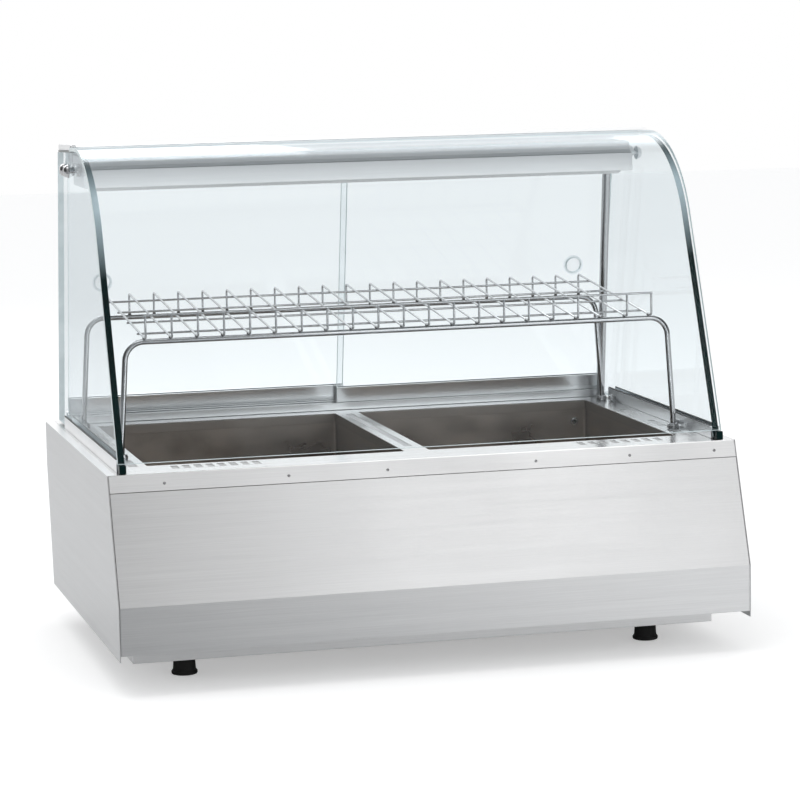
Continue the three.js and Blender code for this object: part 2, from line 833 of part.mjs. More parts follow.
// Lamp housing, a trough that is open below
function housingLine() {
  const cove = [];
  for (let i = 0; i <= coveSteps; i += 1) {
    const angle = (Math.PI / 2) * i / coveSteps;
    cove.push([housingFrontY + coveDepth * (1 - Math.cos(angle)),
      housingTop - coveHeight + coveHeight * Math.sin(angle)]);
  }
  const scoop = cove.map(([y, z]) => [2 * housingFrontY + coveDepth - y, 2 * housingTop - coveHeight - z]);
  const low = housingBottom + housingLipRise;
  return [[housingFrontY, low], ...scoop.reverse(), [housingBackY, housingTop], [housingBackY, low]];
}

function lampHousing() {
  const line = [[housingFrontY + housingLip, housingBottom], ...housingLine()].reverse();
  const shell = barX(folded(line, sheet), -housingHalf, housingHalf);
  const full = barX(housingLine().reverse(), housingHalf - sheet, housingHalf);
  const ends = [full, full.mirror([1, 0, 0])];
  const lipEnds = [-1, 1].map((side) => {
    const xs = [side * (housingHalf - lipShort), side * (housingHalf + overrun)].sort((a, b) => a - b);
    return block(xs[0], xs[1], housingFrontY + sheet + gap, housingFrontY + housingLip + overrun,
      housingBottom - overrun, housingBottom + housingLipRise);
  });
  const holes = [-1, 1].flatMap((side) => boltPlaces().map((y) => moved(rod(boltRadius + gap,
    -sheet - overrun, sheet + overrun, smallSides, 'x'), side * housingHalf, y, boltZ())));
  return cut(joined(shell, ...ends), ...lipEnds, ...holes);
}

function boltPlaces() {
  return [lampY - boltPitch / 2, lampY + boltPitch / 2];
}

function boltZ() {
  return glassTop - boltDrop;
}

// Cap nut outside the glass, spacer between glass and housing, and head inside, on one shank
function housingBolt(side) {
  const headIn = housingHalf - sheet - gap - boltHead;
  const domeBase = glassOuter + gap + boltWasher + boltNutLength;
  const profile = [
    [0, headIn], [boltNutRadius, headIn], [boltNutRadius, headIn + boltHead], [boltRadius, headIn + boltHead],
    [boltRadius, housingHalf + gap], [boltNutRadius, housingHalf + gap], [boltNutRadius, glassInner - gap],
    [boltRadius, glassInner - gap], [boltRadius, glassOuter + gap], [boltWasherRadius, glassOuter + gap],
    [boltWasherRadius, glassOuter + gap + boltWasher], [boltNutRadius, glassOuter + gap + boltWasher],
    [boltNutRadius, domeBase],
    [boltNutRadius * boltDomeRadiusShare, domeBase + boltDome * boltDomeHeightShare],
    [0, domeBase + boltDome],
  ];
  const bolt = turned(profile, smallSides, 'x');
  return side > 0 ? bolt : bolt.mirror([1, 0, 0]);
}

function lampInner() {
  return housingHalf - holderInset - holderWidth;
}

function heatLamp() {
  const end = lampInner() + lampPocket - gap;
  const neck = lampInner() - lampPocket;
  const neckRadius = lampRadius * lampNeckShare;
  const profile = [[0, -end], [neckRadius, -end], [neckRadius, -neck], [lampRadius, -neck + lampPocket],
    [lampRadius, neck - lampPocket], [neckRadius, neck], [neckRadius, end], [0, end]];
  return turned(profile, smallSides, 'x');
}

function lampHolder(side) {
  const x0 = lampInner();
  const top = housingTop - sheet - gap;
  const bodyBlock = block(x0, x0 + holderWidth, lampY - holderDepth / 2, lampY + holderDepth / 2,
    top - holderHeight, top);
  const pockets = lampPlaces().map((y) => moved(rod(lampRadius * lampNeckShare + gap, -overrun, lampPocket,
    smallSides, 'x'), x0, y, lampZ));
  const right = cut(bodyBlock, ...pockets);
  return side > 0 ? right : right.mirror([1, 0, 0]);
}

function lampPlaces() {
  return [lampY - lampPitch / 2, lampY + lampPitch / 2];
}

function lampReflector() {
  const half = lampInner() - gap * 2;
  const top = housingTop - reflectorDrop;
  const low = top - reflectorRise;
  const reach = lampPitch;
  const line = [[lampY + reach, low], [lampY + lampPitch / 2 + lampRadius, top],
    [lampY + lampRadius, top], [lampY, low], [lampY - lampRadius, top],
    [lampY - lampPitch / 2 - lampRadius, top], [lampY - reach, low]];
  return barX(folded(line.reverse(), reflectorSheet), -half, half);
}

// Hollow post that carries the lamp leads from the deck up into the housing
function conduitPost() {
  const length = (housingTop - sheet - postTopDrop - deckHeight) / Math.cos(lean);
  const tube = turned([[postBore, 0], [postRadius, 0], [postRadius, length], [postBore, length],
    [postBore, 0]], roundSides);
  const frame = new THREE.Object3D();
  frame.rotation.set(lean, -THREE.MathUtils.degToRad(postInward), 0);
  const leaning = placed(tube, frame);
  const collar = turned([[postBore + sheet, 0], [collarRadius, 0], [collarRadius, collarHeight / 2],
    [postRadius, collarHeight], [postBore + sheet, collarHeight], [postBore + sheet, 0]], roundSides);
  const trimBelow = block(-halfWidth, halfWidth, -caseDepth, caseDepth, -caseDepth, 0);
  return moved(cut(joined(leaning, collar), trimBelow), postX, postFootY, deckHeight + gap);
}

// Rear tracks in the case's own frame
function groovePlanes() {
  return [frontDoorPlane, frontDoorPlane - doorPitch];
}

function inRearPlane(manifold) {
  return placed(manifold, rearFrame);
}

function bottomTrack() {
  const frontTop = rearPlanePoint(trackFront, trackTop);
  const rearTop = rearPlanePoint(trackRear, trackTop);
  const floor = deckHeight + gap;
  const bar = barX([[frontTop[0], floor], [rearTop[0], floor], rearTop, frontTop], -cabinHalf, cabinHalf);
  const grooves = groovePlanes().map((inward) => inRearPlane(block(-halfWidth, halfWidth,
    -inward - doorTongue / 2 - seam, -inward + doorTongue / 2 + seam, trackTop - grooveDepth,
    trackTop + overrun)));
  return cut(bar, ...grooves);
}

function topTrackBottom() {
  return doorTop() - topTrackHeight + doorTopGap;
}

function doorTop() {
  return cabinHeight / Math.cos(lean) - frontDoorPlane * Math.tan(lean) - doorTopGap;
}

function topTrack() {
  const low = topTrackBottom();
  const frontLow = rearPlanePoint(trackFront, low);
  const rearLow = rearPlanePoint(trackRear, low);
  const ceiling = glassTop;
  const bar = barX([frontLow, rearLow, [rearPlaneY(ceiling, trackRear), ceiling],
    [rearPlaneY(ceiling, trackFront), ceiling]], -cabinHalf, cabinHalf);
  const grooves = groovePlanes().map((inward) => inRearPlane(block(-halfWidth, halfWidth,
    -inward - topGrooveWidth / 2, -inward + topGrooveWidth / 2, low - topTrackHeight,
    doorTop() + gap * 2)));
  return cut(bar, ...grooves);
}

// Doors in the leaning frame, from a named plane, each drawn from its outer side to past the middle
function doorSpan(side) {
  const outer = cabinHalf - doorSideGap;
  return side > 0 ? [-doorOverlap / 2, outer] : [-outer, doorOverlap / 2];
}

function doorGlassPane(side, inward) {
  const [x0, x1] = doorSpan(side);
  const low = trackTop + gap + doorRailHeight - doorRailSeat + gap;
  const pane = block(x0 + gap, x1 - gap, -inward - doorGlass / 2, -inward + doorGlass / 2, low, doorTop());
  const hole = rod(pullHole, -doorGlass, doorGlass, wideSides, 'y');
  return cut(pane, moved(hole, ...pullPlace(side, inward)));
}

function pullPlace(side, inward) {
  return [side * (cabinHalf - pullInset), -inward, pullHeight];
}

// A dished plug that clips into the hole from both sides of the glass
function fingerPull() {
  const face = doorGlass / 2 + gap;
  const edge = face + pullProud;
  const neck = pullHole - gap;
  const half = [[0, edge - pullDish], [neck - pullProud, edge - pullDish], [pullRadius - pullProud, edge],
    [pullRadius, edge - pullProud / 2], [pullRadius, face], [neck, face]];
  const back = half.map(([r, h]) => [r, -h]);
  return turned([...back, ...half.reverse()], wideSides, 'y');
}

function doorRail(side, inward) {
  const [x0, x1] = doorSpan(side);
  const low = trackTop + gap;
  const bar = block(x0, x1, -inward - doorRailThick / 2, -inward + doorRailThick / 2, low,
    low + doorRailHeight);
  const tongue = block(x0, x1, -inward - doorTongue / 2, -inward + doorTongue / 2,
    trackTop - grooveDepth + gap, low + overrun);
  const seat = block(x0 - overrun, x1 + overrun, -inward - doorGlass / 2 - gap, -inward + doorGlass / 2 + gap,
    low + doorRailHeight - doorRailSeat, low + doorRailHeight + overrun);
  return cut(joined(bar, tongue), seat);
}

// Wire shelf
function shelfTube() {
  const footX = halfWidth - shelfFootInset;
  const topX = footX - shelfSplay;
  const foot = deckHeight + gap + socketFloor + gap;
  const knee = deckHeight + shelfLegEnd;
  return bentRod([[-footX, 0, foot], [-footX, 0, knee], [-topX, 0, shelfTopZ], [topX, 0, shelfTopZ],
    [footX, 0, knee], [footX, 0, foot]], shelfTubeRadius, shelfBend, shelfBendSteps, shelfTubeSides);
}

function shelfGrid() {
  const bed = shelfTopZ + shelfTubeRadius + gap + wireRadius;
  const crest = bed + shelfRearRise;
  const lipTop = bed + shelfLip;
  const saddleY = shelfFrontY + wireSaddle / 2;
  const cross = [[0, shelfRearY, bed - wireRadius], [0, shelfRearY, crest], [0, saddleY, bed],
    [0, shelfFrontY - wireSaddle, bed], [0, shelfFrontY - wireSaddle, lipTop]];
  const crossWire = bentRod(cross, wireRadius, wireBend, 1, wireSides);
  const wires = [];
  for (let i = 0; i < wireCount; i += 1) {
    wires.push(moved(crossWire, (i - (wireCount - 1) / 2) * wirePitch, 0, 0));
  }
  const half = (wireCount - 1) / 2 * wirePitch;
  const run = shelfRearY - saddleY;
  for (const share of longWireShares) {
    const wire = rod(wireRadius, -half - wireOverhang, half + wireOverhang, wireSides, 'x');
    const below = wireNestShare * wireRadius;
    wires.push(moved(wire, 0, shelfRearY - share * run, crest - share * shelfRearRise - below));
  }
  const lip = rod(wireRadius, -half - wireRadius, half + wireRadius, wireSides, 'x');
  wires.push(moved(lip, 0, shelfFrontY - wireSaddle, lipTop));
  return joined(...wires);
}

function shelfSocket() {
  const bore = shelfTubeRadius + socketClearance;
  return turned([[0, 0], [socketRadius, 0], [socketRadius, socketHeight / 2],
    [bore + (socketRadius - bore) / 2, socketHeight], [bore, socketHeight], [bore, socketFloor],
    [0, socketFloor]], roundSides);
}

// Heating element under a tub
function wellElement() {
  const halfX = wellWidth / 2 - elementMargin;
  const y0 = wellFrontY + elementMargin;
  const y1 = wellBackY - elementMargin;
  const z = deckHeight - wellDepth - tubWall - gap - elementRadius;
  const corners = [];
  for (let i = 0; i < elementLegs; i += 1) {
    const x = -halfX + 2 * halfX * i / (elementLegs - 1);
    const ends = i % 2 === 0 ? [y1, y0] : [y0, y1];
    corners.push([x, ends[0], z], [x, ends[1], z]);
  }
  corners[0][1] += elementTail;
  corners[corners.length - 1][1] += elementTail;
  return bentRod(corners, elementRadius, elementBend, elementBendSteps, elementSides);
}

// Controls on the sloped rear panel, drawn with +Z out of the panel
function thermostat() {
  const depth = sheet + gap + thermostatDepth;
  return joined(
    rod(thermostatRadius, -depth, -sheet - gap, wideSides),
    rod(shaftRadius, -sheet - gap - overrun, knobHeight * shaftReachShare, smallSides),
  );
}

function thermostatKnob() {
  const low = gap;
  const knob = turned([[0, low], [knobRadius, low], [knobRadius, low + knobSkirt],
    [knobGripRadius, low + knobSkirt], [knobGripRadius * knobTaperShare, knobHeight], [0, knobHeight]],
  wideSides);
  const bore = rod(shaftRadius + shaftFit, -overrun, knobHeight * shaftReachShare + gap, smallSides);
  return cut(knob, bore);
}

function switchBody() {
  const boxed = (inset, z0, z1) => block(-switchWidth / 2 + inset, switchWidth / 2 - inset,
    -switchLength / 2 + inset, switchLength / 2 - inset, z0, z1);
  const bezel = boxed(0, gap, gap + switchBezel);
  const inner = boxed(switchRim, -switchBodyDepth, gap + switchBezel / 2);
  const well = boxed(2 * switchRim, -rockerWellDepth, gap + switchBezel + overrun);
  return cut(joined(bezel, inner), well);
}

function switchRocker() {
  const halfX = switchWidth / 2 - 2 * switchRim - gap;
  const halfY = switchLength / 2 - 2 * switchRim - 2 * gap;
  const top = gap + switchBezel + rockerProud;
  const outline = [[-halfY, -rockerWellDepth / 2]];
  for (let i = 0; i <= rockerSteps; i += 1) {
    const y = -halfY + 2 * halfY * i / rockerSteps;
    const dip = rockerRadius - Math.sqrt(rockerRadius * rockerRadius - halfY * halfY + y * y);
    outline.push([y, top - dip]);
  }
  outline.push([halfY, -rockerWellDepth / 2]);
  return barX(outline.reverse(), -halfX, halfX);
}

function controlCutters() {
  const bore = rod(shaftRadius + 2 * gap, -sheet - overrun, overrun, smallSides);
  const window = block(-switchWidth / 2 + switchRim - gap, switchWidth / 2 - switchRim + gap,
    -switchLength / 2 + switchRim - gap, switchLength / 2 - switchRim + gap, -sheet - overrun, overrun);
  const entry = rod(glandThreadRadius + gap, -sheet - overrun, overrun, roundSides);
  return [[bore, knobX], [window, switchX], [entry, glandX]].map(([cutter, x]) => placed(
    moved(cutter, -x, 0, 0), controlFrame));
}

function cableGland() {
  return turned([[glandBore, -sheet - glandInside], [glandThreadRadius, -sheet - glandInside],
    [glandThreadRadius, gap], [glandRadius, gap], [glandRadius, glandNutHeight],
    [glandThreadRadius, glandNutHeight + glandCapHeight * glandTaperShare],
    [glandBore + sheet, glandNutHeight + glandCapHeight], [glandBore, glandNutHeight + glandCapHeight],
    [glandBore, -sheet - glandInside]], roundSides);
}

// Frames that lean with the rear plane and with the sloped rear panel
const rearFrame = new THREE.Group();
rearFrame.position.set(0, glassBackY, deckHeight);
rearFrame.rotation.x = lean;

const controlFrame = new THREE.Group();
controlFrame.position.set(0, slopedRearY(controlHeight), controlHeight);
controlFrame.rotation.set(-(Math.PI / 2 + panelSlope), 0, Math.PI);

const roofFrame = new THREE.Group();
roofFrame.position.set(0, hingeFootY, hingeFootZ);
roofFrame.rotation.x = -pitch;

const displayCase = new THREE.Group();
displayCase.add(rearFrame);
displayCase.add(roofFrame);
displayCase.add(controlFrame);

const sides = [['left', -1], ['right', 1]];

addPiece(displayCase, 'front_panel', frontPanel(), steel);
addPiece(displayCase, 'rear_panel', rearPanel(controlCutters()), steel);
addPiece(displayCase, 'base_pan', basePan(), steel);
addPiece(displayCase, 'deck_plate', deckPlate(), steel);
addPiece(displayCase, 'front_glass', frontGlassPane(), clearGlass);
addPiece(roofFrame, 'glass_hinge_leaf', glassHingeLeaf(), aluminium);
addPiece(roofFrame, 'hinge_pin', hingePin(), chrome);
addPiece(roofFrame, 'roof_profile', roofProfile(), aluminium);
addPiece(displayCase, 'lamp_housing', lampHousing(), aluminium);
addPiece(displayCase, 'lamp_reflector', lampReflector(), chrome);
addPiece(displayCase, 'conduit_post', conduitPost(), chrome);
addPiece(displayCase, 'door_track_bottom', bottomTrack(), aluminium);
addPiece(displayCase, 'door_track_top', topTrack(), aluminium);
addPiece(displayCase, 'overflow_fitting', overflowFitting(), chrome);
addPiece(displayCase, 'shelf_grid', shelfGrid(), chrome);
addPiece(displayCase, 'shelf_front_tube', shelfTube(), chrome, [0, shelfFrontY, 0]);
addPiece(displayCase, 'shelf_rear_tube', shelfTube(), chrome, [0, shelfRearY, 0]);

for (const [word, side] of sides) {
  addPiece(displayCase, `side_panel_${word}`, sidePanel(side), steel);
  addPiece(displayCase, `well_tub_${word}`, wellTub(side), wellSteel);
  addPiece(displayCase, `well_element_${word}`, wellElement(), darkMetal, [side * wellX, 0, 0]);
  addPiece(displayCase, `glass_channel_${word}`, glassChannel(side), aluminium);
  addPiece(displayCase, `glass_rest_${word}`, glassRest(side), blackRubber);
  addPiece(displayCase, `side_glass_${word}`, sideGlassPane(side), clearGlass);
  addPiece(displayCase, `lamp_holder_${word}`, lampHolder(side), ceramic);
  const plane = side > 0 ? frontDoorPlane : frontDoorPlane - doorPitch;
  addPiece(rearFrame, `door_glass_${word}`, doorGlassPane(side, plane), clearGlass);
  addPiece(rearFrame, `door_rail_${word}`, doorRail(side, plane), aluminium);
  addPiece(rearFrame, `finger_pull_${word}`, fingerPull(), clearPlastic, pullPlace(side, plane));
  for (const [end, y] of [['front', frontY + footEndInset], ['rear', backY - footEndInset]]) {
    addPiece(displayCase, `foot_${end}_${word}`, foot(), blackRubber,
      [side * (halfWidth - footSideInset), y, 0]);
  }
  clampPlaces().forEach((y, i) => {
    addPiece(displayCase, `clamp_knob_${['front', 'rear'][i]}_${word}`, clampKnob(side), chrome,
      [0, y, clampZ()]);
  });
  boltPlaces().forEach((y, i) => {
    addPiece(displayCase, `housing_bolt_${['front', 'rear'][i]}_${word}`, housingBolt(side), chrome,
      [0, y, boltZ()]);
  });
  for (const [end, y] of [['front', shelfFrontY], ['rear', shelfRearY]]) {
    addPiece(displayCase, `shelf_socket_${end}_${word}`, shelfSocket(), chrome,
      [side * (halfWidth - shelfFootInset), y, deckHeight + gap]);
  }
}

lampPlaces().forEach((y, i) => {
  addPiece(displayCase, `heat_lamp_${['front', 'rear'][i]}`, heatLamp(), quartz, [0, y, lampZ]);
});

addPiece(controlFrame, 'thermostat', thermostat(), darkMetal, [-knobX, 0, 0]);
addPiece(controlFrame, 'thermostat_knob', thermostatKnob(), blackPlastic, [-knobX, 0, 0]);
addPiece(controlFrame, 'switch_body', switchBody(), blackPlastic, [-switchX, 0, 0]);
addPiece(controlFrame, 'switch_rocker', switchRocker(), blackPlastic, [-switchX, 0, 0]);
addPiece(controlFrame, 'cable_gland', cableGland(), blackPlastic, [-glandX, 0, 0]);

export default displayCase;
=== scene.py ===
import math

import bmesh
import bpy
from mathutils import Matrix, Vector


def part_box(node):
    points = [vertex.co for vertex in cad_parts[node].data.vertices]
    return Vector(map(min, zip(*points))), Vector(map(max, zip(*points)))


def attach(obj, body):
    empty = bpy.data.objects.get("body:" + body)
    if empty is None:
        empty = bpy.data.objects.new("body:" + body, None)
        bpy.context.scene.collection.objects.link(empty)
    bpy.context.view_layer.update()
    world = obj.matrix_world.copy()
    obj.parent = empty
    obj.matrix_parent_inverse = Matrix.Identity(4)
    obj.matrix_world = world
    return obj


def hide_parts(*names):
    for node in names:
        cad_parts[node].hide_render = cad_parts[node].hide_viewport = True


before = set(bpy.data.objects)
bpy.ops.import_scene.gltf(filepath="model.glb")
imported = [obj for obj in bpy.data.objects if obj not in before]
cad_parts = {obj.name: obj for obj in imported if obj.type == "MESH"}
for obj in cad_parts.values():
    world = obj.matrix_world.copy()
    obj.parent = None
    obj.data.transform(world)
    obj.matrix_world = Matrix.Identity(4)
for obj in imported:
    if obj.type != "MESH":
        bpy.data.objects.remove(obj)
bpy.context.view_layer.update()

# Sizes in metres, in the case's own frame: X is the width, -Y the customer's side, Z up

# Camera, matched to the straight edges of the photograph
CAMERA_PLACE = Vector((-0.92154, -3.53831, 0.78235))
CAMERA_TURN = 0.26015
CAMERA_DIP = 0.13617
CAMERA_ROLL = -0.01744
LENS = 138.8
SENSOR = 36.0
CLIP_END = 60

# Studio, as metal mirrors it: the level left at the sides and overhead, a glow added high up behind, and
# the tone in front, each with the parts of the direction's X, Y or Z between which it changes
SIDE_LEVEL = 0.12
SIDE_RANGE = (0.5, 0.72)
TOP_LEVEL = 0.15
TOP_RANGE = (0.66, 0.82)
BACK_GLOW = 0.9
BACK_GLOW_HEIGHT = (0.27, 0.45)
BACK_GLOW_DEPTH = (0.1, 0.5)
FRONT_TONE = 0.4
FRONT_RANGE = (-1, 0.3)

# Studio, as it lights dull surfaces
FILL = 0.75
FILL_COLOUR = (0.98, 0.99, 1.0)

# Lights: name, place, target, width, height, power, and whether metal mirrors it
SOFTBOXES = (
    ("key", (1.08, -3.0, 1.3), (0.1, -0.2, 0.3), 1.1, 2.4, 10, True),
    ("top", (-0.6, -0.6, 3.0), (0, 0, 0.3), 2.2, 1.8, 18, True),
    ("back", (-0.4, 2.4, 2.2), (0, 0, 0.4), 2.0, 1.2, 14, True),
    ("low", (-0.2, -2.2, 0.12), (0, 0.1, 0.56), 1.6, 0.3, 14, False),
)

# Floor. In what metal mirrors, its part in front of the case runs from a dark left to a light right: painted
# shade and painted light that only the metal's reflections show
FLOOR_HALF = 8.0
FLOOR_DROP = 0.0005
FLOOR_TONE = (0.8, 0.8, 0.8)
FLOOR_GLOW = 0.38
FLOOR_MIRRORED_SHADE = (0.36, 0.365, 0.37)
FLOOR_MIRRORED_LIGHT = (0.98, 0.98, 0.98)
FLOOR_ACROSS = (-0.35, 0.4)
FLOOR_FRONT = (-0.36, -0.27)

# Glass cabin
GLASS_FRONT = -0.191
GLASS_LOW = 0.2446
GLASS_START = math.radians(21.5)
GLASS_LOW_RADIUS = 12.0
GLASS_CROWN_RADIUS = 0.142
GLASS_REAR_TOP = Vector((0.1804, 0.58))
ROOF_PITCH = math.radians(2.5)
FRONT_GLASS_GAP = 0.001
FRONT_GLASS = 0.005
FRONT_GLASS_FOOT = 0.2523
REAR_LEAN = math.radians(10)
GLASS_STEPS = (10, 40)
GLASS_PASSES = (0.962, 0.976, 0.981)
GLASS_SHINE = (0.92, 0.97, 1.0)
PANE_ROUND = 0.0006
EDGE_ROUND = 0.0005
ROOF_END = 0.0008
TOUCH_GAP = 0.00006
SAME_POINT = 0.00001

# Heights between which a look changes, and for the trim depths behind the front's top edge
DECK_FADE = (0.2405, 0.2415)
TRIM_FADE = (0.02, 0.021)
# Heights over which the housing is painted darker towards its top: painted shade
HOUSING_PAINTED_SHADE = (0.542, 0.574)
# Heights over which the dark edge is painted paler, then brighter: painted reflection and painted highlight
EDGE_PAINTED_REFLECTION = (0.45, 0.525)
EDGE_PAINTED_HIGHLIGHT = (0.54, 0.575)
CROWN_FADE = (0.568, 0.586)

# Base
FRONT_TOP = Vector((-0.202, 0.242))
FRONT_KINK = Vector((-0.252, 0.102))
TRIM_RIVETS = (-0.3066, -0.1649, -0.0502, 0.1253, 0.2387, 0.3425)
TRIM_RIVET_HEIGHT = 0.231
RIVET_RADIUS = 0.0017
RIVET_RISE = 0.0007
RIVET_SINK = 0.0002

# Slots of the deck, with perforated plates set in them
WELL_FRONT = -0.148
WELL_LENGTH = 0.3334
WELL_EDGE = 0.3153
DECK_TOP = 0.242
INSERT_DROP = 0.0007
INSERT_SHEET = 0.0007
INSERT_GAP = 0.00015
FRONT_SLOT = (0.008, 0.022)
FRONT_SLOT_SPREAD = 0.24
FRONT_SLOT_PITCH = 0.0134
FRONT_SLOT_COUNT = 8
FRONT_SLOT_MARGIN = 0.008
SIDE_SLOT = (0.01, 0.05)
SIDE_SLOT_SHARES = (0.07, 0.31, 0.62)
DIVIDER_SLOT_WIDTH = 0.009
DIVIDER_SLOT_MARGINS = (0.036, 0.012)

# Controls on the sloped rear panel, drawn with Z out of the panel
PANEL_OUT = Vector((0, 0.98398, -0.17829))
PANEL_UP = Vector((0, 0.17829, 0.98398))
PANEL_RIGHT = Vector((-1, 0, 0))
KNOB_AXIS = Vector((0.25, 0.23279, 0.084))
ROCKER_AXIS = Vector((0.19, 0.23279, 0.084))
GLAND_AXIS = Vector((0.3, 0.23279, 0.084))
PRINT = 0.00008
KNOB_SKIRT = 0.017
KNOB_GRIP = 0.013
KNOB_TALL = 0.013
POINTER_HALF = 0.0007
DIAL_SWEEP = math.radians(270)
DIAL_MARKS = ("0", "30", "50", "70", "90")
DIAL_PARTS = 3
DIAL_RADIUS = 0.0192
TICK_HALF = 0.0003
TICK_SHORT = 0.002
TICK_LONG = 0.0035
NUMERAL_REACH = 0.0272
NUMERAL_SIZE = 0.0062
ROCKER_SLOPE = math.radians(9.8)
ROCKER_MARK_UP = 0.0051
ROCKER_MARK_OUT = 0.0039
SCREW_ACROSS = (-0.34, -0.113, 0.113, 0.34)
SCREW_HEIGHTS = (-0.024, 0.09)

# Lamps
LAMP_NECK = 0.0033
LAMP_SHOULDER_IN = 0.0237
LAMP_NECK_IN = 0.0157
COIL_RADIUS = 0.0021
COIL_WIRE = 0.00035
COIL_PITCH = 0.006
COIL_STEPS = 8

# Shelf
WIRE = 0.0013
WIRE_COUNT = 21
WIRE_PITCH = 0.0304
WIRES_ACROSS = [(i - (WIRE_COUNT - 1) / 2) * WIRE_PITCH for i in range(WIRE_COUNT)]
WIRE_BEND = 0.003
WIRE_GAP = 0.0003
WIRE_SIDES = 10
LONG_WIRE_SHARES = (0.15, 0.4, 0.64, 0.89)
SHELF_LIP = 0.026
SHELF_REAR_RISE = 0.024
SADDLE = 0.009
WIRE_OVERHANG = 0.0025
TUBE_LEG_END = 0.256
TUBE_SPLAY = 0.008
TUBE_BEND = 0.022
WELD_RADIUS = 0.0021


# Node trees

class Nodes:
    """Short ways to add and join the nodes of a tree. A value fed to an input is a socket, which is joined to
    it, or a number, vector or colour, which is stored in it."""

    def __init__(self, tree):
        self.tree = tree

    def feed(self, socket, value):
        if hasattr(value, "is_output"):
            self.tree.links.new(value, socket)
        else:
            socket.default_value = (*value, 1.0) if socket.type == "RGBA" else value

    def feed_all(self, node, values):
        """Feeds the inputs by their names, in which an underscore stands for a space."""
        for name, value in values.items():
            self.feed(node.inputs[name.replace("_", " ")], value)

    def node(self, kind, settings=None, **values):
        made = self.tree.nodes.new("ShaderNode" + kind)
        for key, value in (settings or {}).items():
            setattr(made, key, value)
        self.feed_all(made, values)
        return made

    def place(self):
        return self.node("TexCoord").outputs["Object"]

    def along(self, axis):
        return self.node("SeparateXYZ", Vector=self.place()).outputs[axis]

    def noise(self, scale, stretch=(1, 1, 1), detail=3.0, rough=0.5):
        mapping = self.node("Mapping", Scale=stretch, Vector=self.place())
        return self.node("TexNoise", Scale=scale, Detail=detail, Roughness=rough,
                         Vector=mapping.outputs["Vector"]).outputs["Fac"]

    def maths(self, operation, *values):
        node = self.node("Math", {"operation": operation})
        for socket, value in zip(node.inputs, values):
            self.feed(socket, value)
        return node.outputs["Value"]

    def share(self, first, second, part):
        """The first value with a part of the second in its place."""
        kept = self.maths("MULTIPLY", first, 1 - part)
        return self.maths("ADD", kept, self.maths("MULTIPLY", second, part))

    def spread(self, source, low, high, from_low=0.3, from_high=0.7, kind="LINEAR"):
        """Low to high where the source runs from from_low to from_high, and held beyond them."""
        return self.node("MapRange", {"interpolation_type": kind}, Value=source, From_Min=from_low,
                         From_Max=from_high, To_Min=low, To_Max=high).outputs["Result"]

    def blend(self, factor, first, second):
        """A mix of two colours."""
        mix = self.node("Mix", {"data_type": "RGBA"})
        self.feed(mix.inputs[0], factor)
        colours = [socket for socket in mix.inputs if socket.type == "RGBA"]
        for socket, colour in zip(colours, (first, second)):
            self.feed(socket, colour)
        return next(socket for socket in mix.outputs if socket.type == "RGBA")

    def either(self, factor, first, second):
        """A mix of two shaders."""
        mix = self.node("MixShader")
        for socket, source in zip(mix.inputs, (factor, first, second)):
            self.feed(socket, source)
        return mix.outputs["Shader"]

    def bump(self, height, distance, strength=0.5):
        return self.node("Bump", Height=height, Distance=distance, Strength=strength).outputs["Normal"]


class Look(Nodes):
    """A material and its nodes."""

    def __init__(self, name):
        self.material = bpy.data.materials.new(name)
        self.material.use_nodes = True
        super().__init__(self.material.node_tree)
        self.shader = self.tree.nodes["Principled BSDF"]

    def sockets(self, **values):
        self.feed_all(self.shader, values)

    def ends_in(self, shader):
        """Shows this shader in place of the plain one."""
        self.feed(self.tree.nodes["Material Output"].inputs["Surface"], shader)


def shades(colour, change):
    """A darker and a lighter shade of a colour."""
    return tuple(c * (1 - change) for c in colour), tuple(min(1.0, c * (1 + change)) for c in colour)


def below_deck(look):
    """1 on what hangs below the deck behind the front trim, 0 elsewhere."""
    behind = look.spread(look.along("Y"), 0, 1, FRONT_TOP.x + TRIM_FADE[0], FRONT_TOP.x + TRIM_FADE[1])
    return look.maths("MULTIPLY", behind, look.spread(look.along("Z"), 1, 0, *DECK_FADE))


def brushed(name, colour, roughness, along, fine=900.0, change=0.07, cloud=0.04, metallic=1.0,
            duller=None, skirt=None, upper=None):
    """Brushed or drawn metal: fine lines and broader streaks along one axis, and soft clouds. It can be
    duller low down, take another colour below the deck (skirt), and take a darker colour high up (upper),
    which is painted shade."""
    look = Look(name)
    stretch = [1.0, 1.0, 1.0]
    stretch["XYZ".index(along)] = 0.012
    lines = look.noise(fine, stretch, detail=4.0, rough=0.7)
    streaks = look.noise(fine / 9, stretch, detail=2.0)
    clouds = look.noise(6.0, detail=4.0)
    grain = look.share(lines, streaks, part=0.4)
    tone = look.share(grain, clouds, part=0.08)
    dark, light = shades(colour, change)
    shown = look.blend(look.spread(tone, 0, 1, 0.35, 0.65), dark, light)
    if skirt:
        shown = look.blend(below_deck(look), shown, skirt)
    # Painted shade: a darker colour blended in high up
    if upper:
        heights, shade = upper
        shown = look.blend(look.spread(look.along("Z"), 0, 1, *heights), shown, shade)
    patchy = look.maths("ADD", look.spread(grain, roughness - 0.06, roughness + 0.06),
                        look.spread(clouds, -cloud / 2, cloud / 2))
    if duller:
        heights, added = duller
        patchy = look.maths("ADD", patchy, look.spread(look.along("Z"), added, 0, *heights))
    look.sockets(Base_Color=shown, Roughness=patchy, Normal=look.bump(lines, 0.00003), Metallic=metallic)
    return look.material


def polished(name, colour, roughness):
    """Polished plating: nearly mirror, with faint smears."""
    look = Look(name)
    smears = look.noise(70.0, (1, 1, 0.3), detail=5.0)
    look.sockets(Base_Color=look.blend(smears, *shades(colour, 0.04)),
                 Roughness=look.spread(smears, roughness, roughness + 0.07),
                 Normal=look.bump(smears, 0.00002, 0.3), Metallic=1.0)
    return look.material


